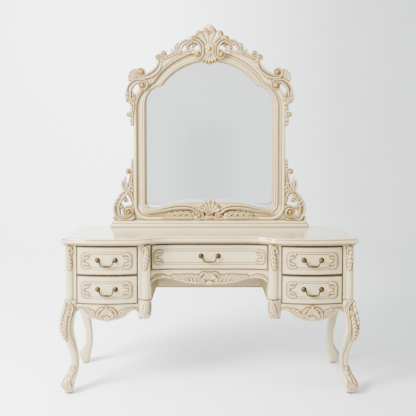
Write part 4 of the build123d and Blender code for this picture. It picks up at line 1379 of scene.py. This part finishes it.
def make_aprons():
    part = apron("apron_pedestal_right", PEDESTAL_X, PEDESTAL_APRON, bow_y, pedestal_apron_carving)
    pair("apron_pedestal", [part], CARVED_LACQUER)
    part = apron("apron_centre", 0, CENTRE_APRON, centre_y, centre_apron_carving)
    piece("apron_centre", [part], CARVED_LACQUER)


make_aprons()


# ---------------------------------------------------------------- panels of the kneehole
# The kneehole panels carry painted shade all over: a darker, warmer tone for the shade and bounced light
# under the table.
LINE_GLAZE, KNEEHOLE_PAINTED_SHADE = 0.85, 0.3


def edged_board(node, line):
    """A board with a glaze line at a height over its lower edge, and painted shade over the rest of its face.
    """
    low, high = corners(node)
    tall = high[2] - low[2]
    levels = []
    for up in sorted({0.0, 1.2, tall - 1.2, tall, line - 3.2, line - 2.0, line + 2.0, line + 3.2}):
        ease = EASE if up in (0.0, tall) else 0.0
        levels.append((low[2] + up, ease, LINE_GLAZE if abs(up - line) < 2.5 else KNEEHOLE_PAINTED_SHADE))
    return board(low, high, levels)


for wing in ("left", "right"):
    panel = f"side_panel_inner_{wing}"
    piece(panel, [edged_board(panel, 13.0)], PANEL_LACQUER)
piece("back_panel_centre", [edged_board("back_panel_centre", 3.5)], LEVEL_LACQUER)


# ---------------------------------------------------------------- handles
# A rosette and its knob from the back to the front: radius, distance forwards.
ROSETTE = [(0.5, -1.5), (14.0, -1.5), (14.4, 0.6), (13.6, 2.4), (11.8, 3.0), (10.8, 2.0), (9.8, 2.8),
           (7.8, 4.8), (5.6, 6.0), (4.6, 6.4), (3.6, 7.4), (3.2, 9.2), (3.8, 10.6), (5.8, 12.4), (7.0, 14.8),
           (7.2, 17.0), (5.6, 19.4), (4.0, 21.2), (2.6, 21.9), (1.6, 23.0), (0.2, 23.4)]
HANDLE_SPAN = 88.0
SEAT = 16.0  # from a bail's pivot back to the face of the drawer
BAIL_RADIUS = 3.7


def sweep(path, radii, sides=16):
    """A round rod along a path of points, with a radius at each."""
    way = np.gradient(path, axis=0)
    way /= np.linalg.norm(way, axis=1, keepdims=True)
    across = np.cross(way, (0.0, 1.0, 0.0))
    across /= np.linalg.norm(across, axis=1, keepdims=True)
    other = np.cross(way, across)
    angle = np.linspace(0, 2 * np.pi, sides, endpoint=False)[None, :, None]
    turn = np.cos(angle) * across[:, None, :] + np.sin(angle) * other[:, None, :]
    return tube(path[:, None, :] + turn * np.array(radii)[:, None, None])


def handle_parts(node):
    """The two rosettes with their knobs, and the bail that hangs from them."""
    low, high = corners(f"handle_posts_{node}")
    middle, _, z = (low + high) / 2
    pivot_y = sum(corner[1] for corner in corners(f"bail_{node}")) / 2
    seat, nut_y = pivot_y + SEAT, high[1]
    shank = [(0.3, -4), (2.0, -4), (2.0, 1), (0.3, 1)]
    bolt = [(0.3, 0), (5, 0), (5, 4), (2, 4), (2, nut_y - seat - 2)]
    posts = []
    for side in (-1, 1):
        x = middle + side * HANDLE_SPAN / 2
        posts.append(lathe(ROSETTE, (x, seat, z), petals=8, depth=0.045))
        posts.append(lathe(shank, (x, seat, z), sides=12))
        posts.append(lathe(bolt, (x, nut_y, z), sides=12))
    arm = HANDLE_SPAN / 2 - 8.5
    half = [(arm + 3.5, 0), (arm, -0.4), (arm - 1.6, -6), (arm - 2.6, -13), (arm - 4.6, -20),
            (arm - 9.5, -25.6), (arm - 16, -27.6), (arm - 24, -28.0), (0, -28.2)]
    line = smooth(half, 10)
    line = np.vstack([line, (line * (-1, 1))[::-1][1:]])
    x = line[:, 0]
    bead = 2.3 * np.exp(-((x / 3.0) ** 2)) + 1.3 * np.exp(-(((np.abs(x) - 7.4) / 2.0) ** 2))
    bead += 0.9 * np.exp(-(((np.abs(x) - 12.4) / 1.4) ** 2))
    hanging = line[:, 1] < -15
    radii = BAIL_RADIUS + bead * hanging + 0.5 * (np.abs(x) > arm - 1)
    path = np.column_stack([middle + x, np.full(len(x), pivot_y), z + line[:, 1]])
    return posts, [sweep(path, radii)]


for drawer in ("upper_left", "upper_right", "lower_left", "lower_right", "centre"):
    fixed, swinging = handle_parts(drawer)
    piece(f"handle_posts_{drawer}", fixed, BRASS, f"drawer_{drawer}", "handle_brass")
    piece(f"bail_{drawer}", swinging, BRASS, f"handle_{drawer}", "handle_brass")


# ---------------------------------------------------------------- CAD nodes that stay in view
NOT_LACQUERED = {"drawer_box": PLAIN_TIMBER, "drawer_runners": PLAIN_TIMBER, "mirror_struts": PLAIN_TIMBER,
                 "mirror_backboard": BACKBOARD, "leg_glides": PAD, "strut_screws": STEEL}
for node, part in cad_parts.items():
    if not part.hide_render:
        found = [material for start, material in NOT_LACQUERED.items() if node.startswith(start)]
        dress(part.data, found[0] if found else UPRIGHT_LACQUER)
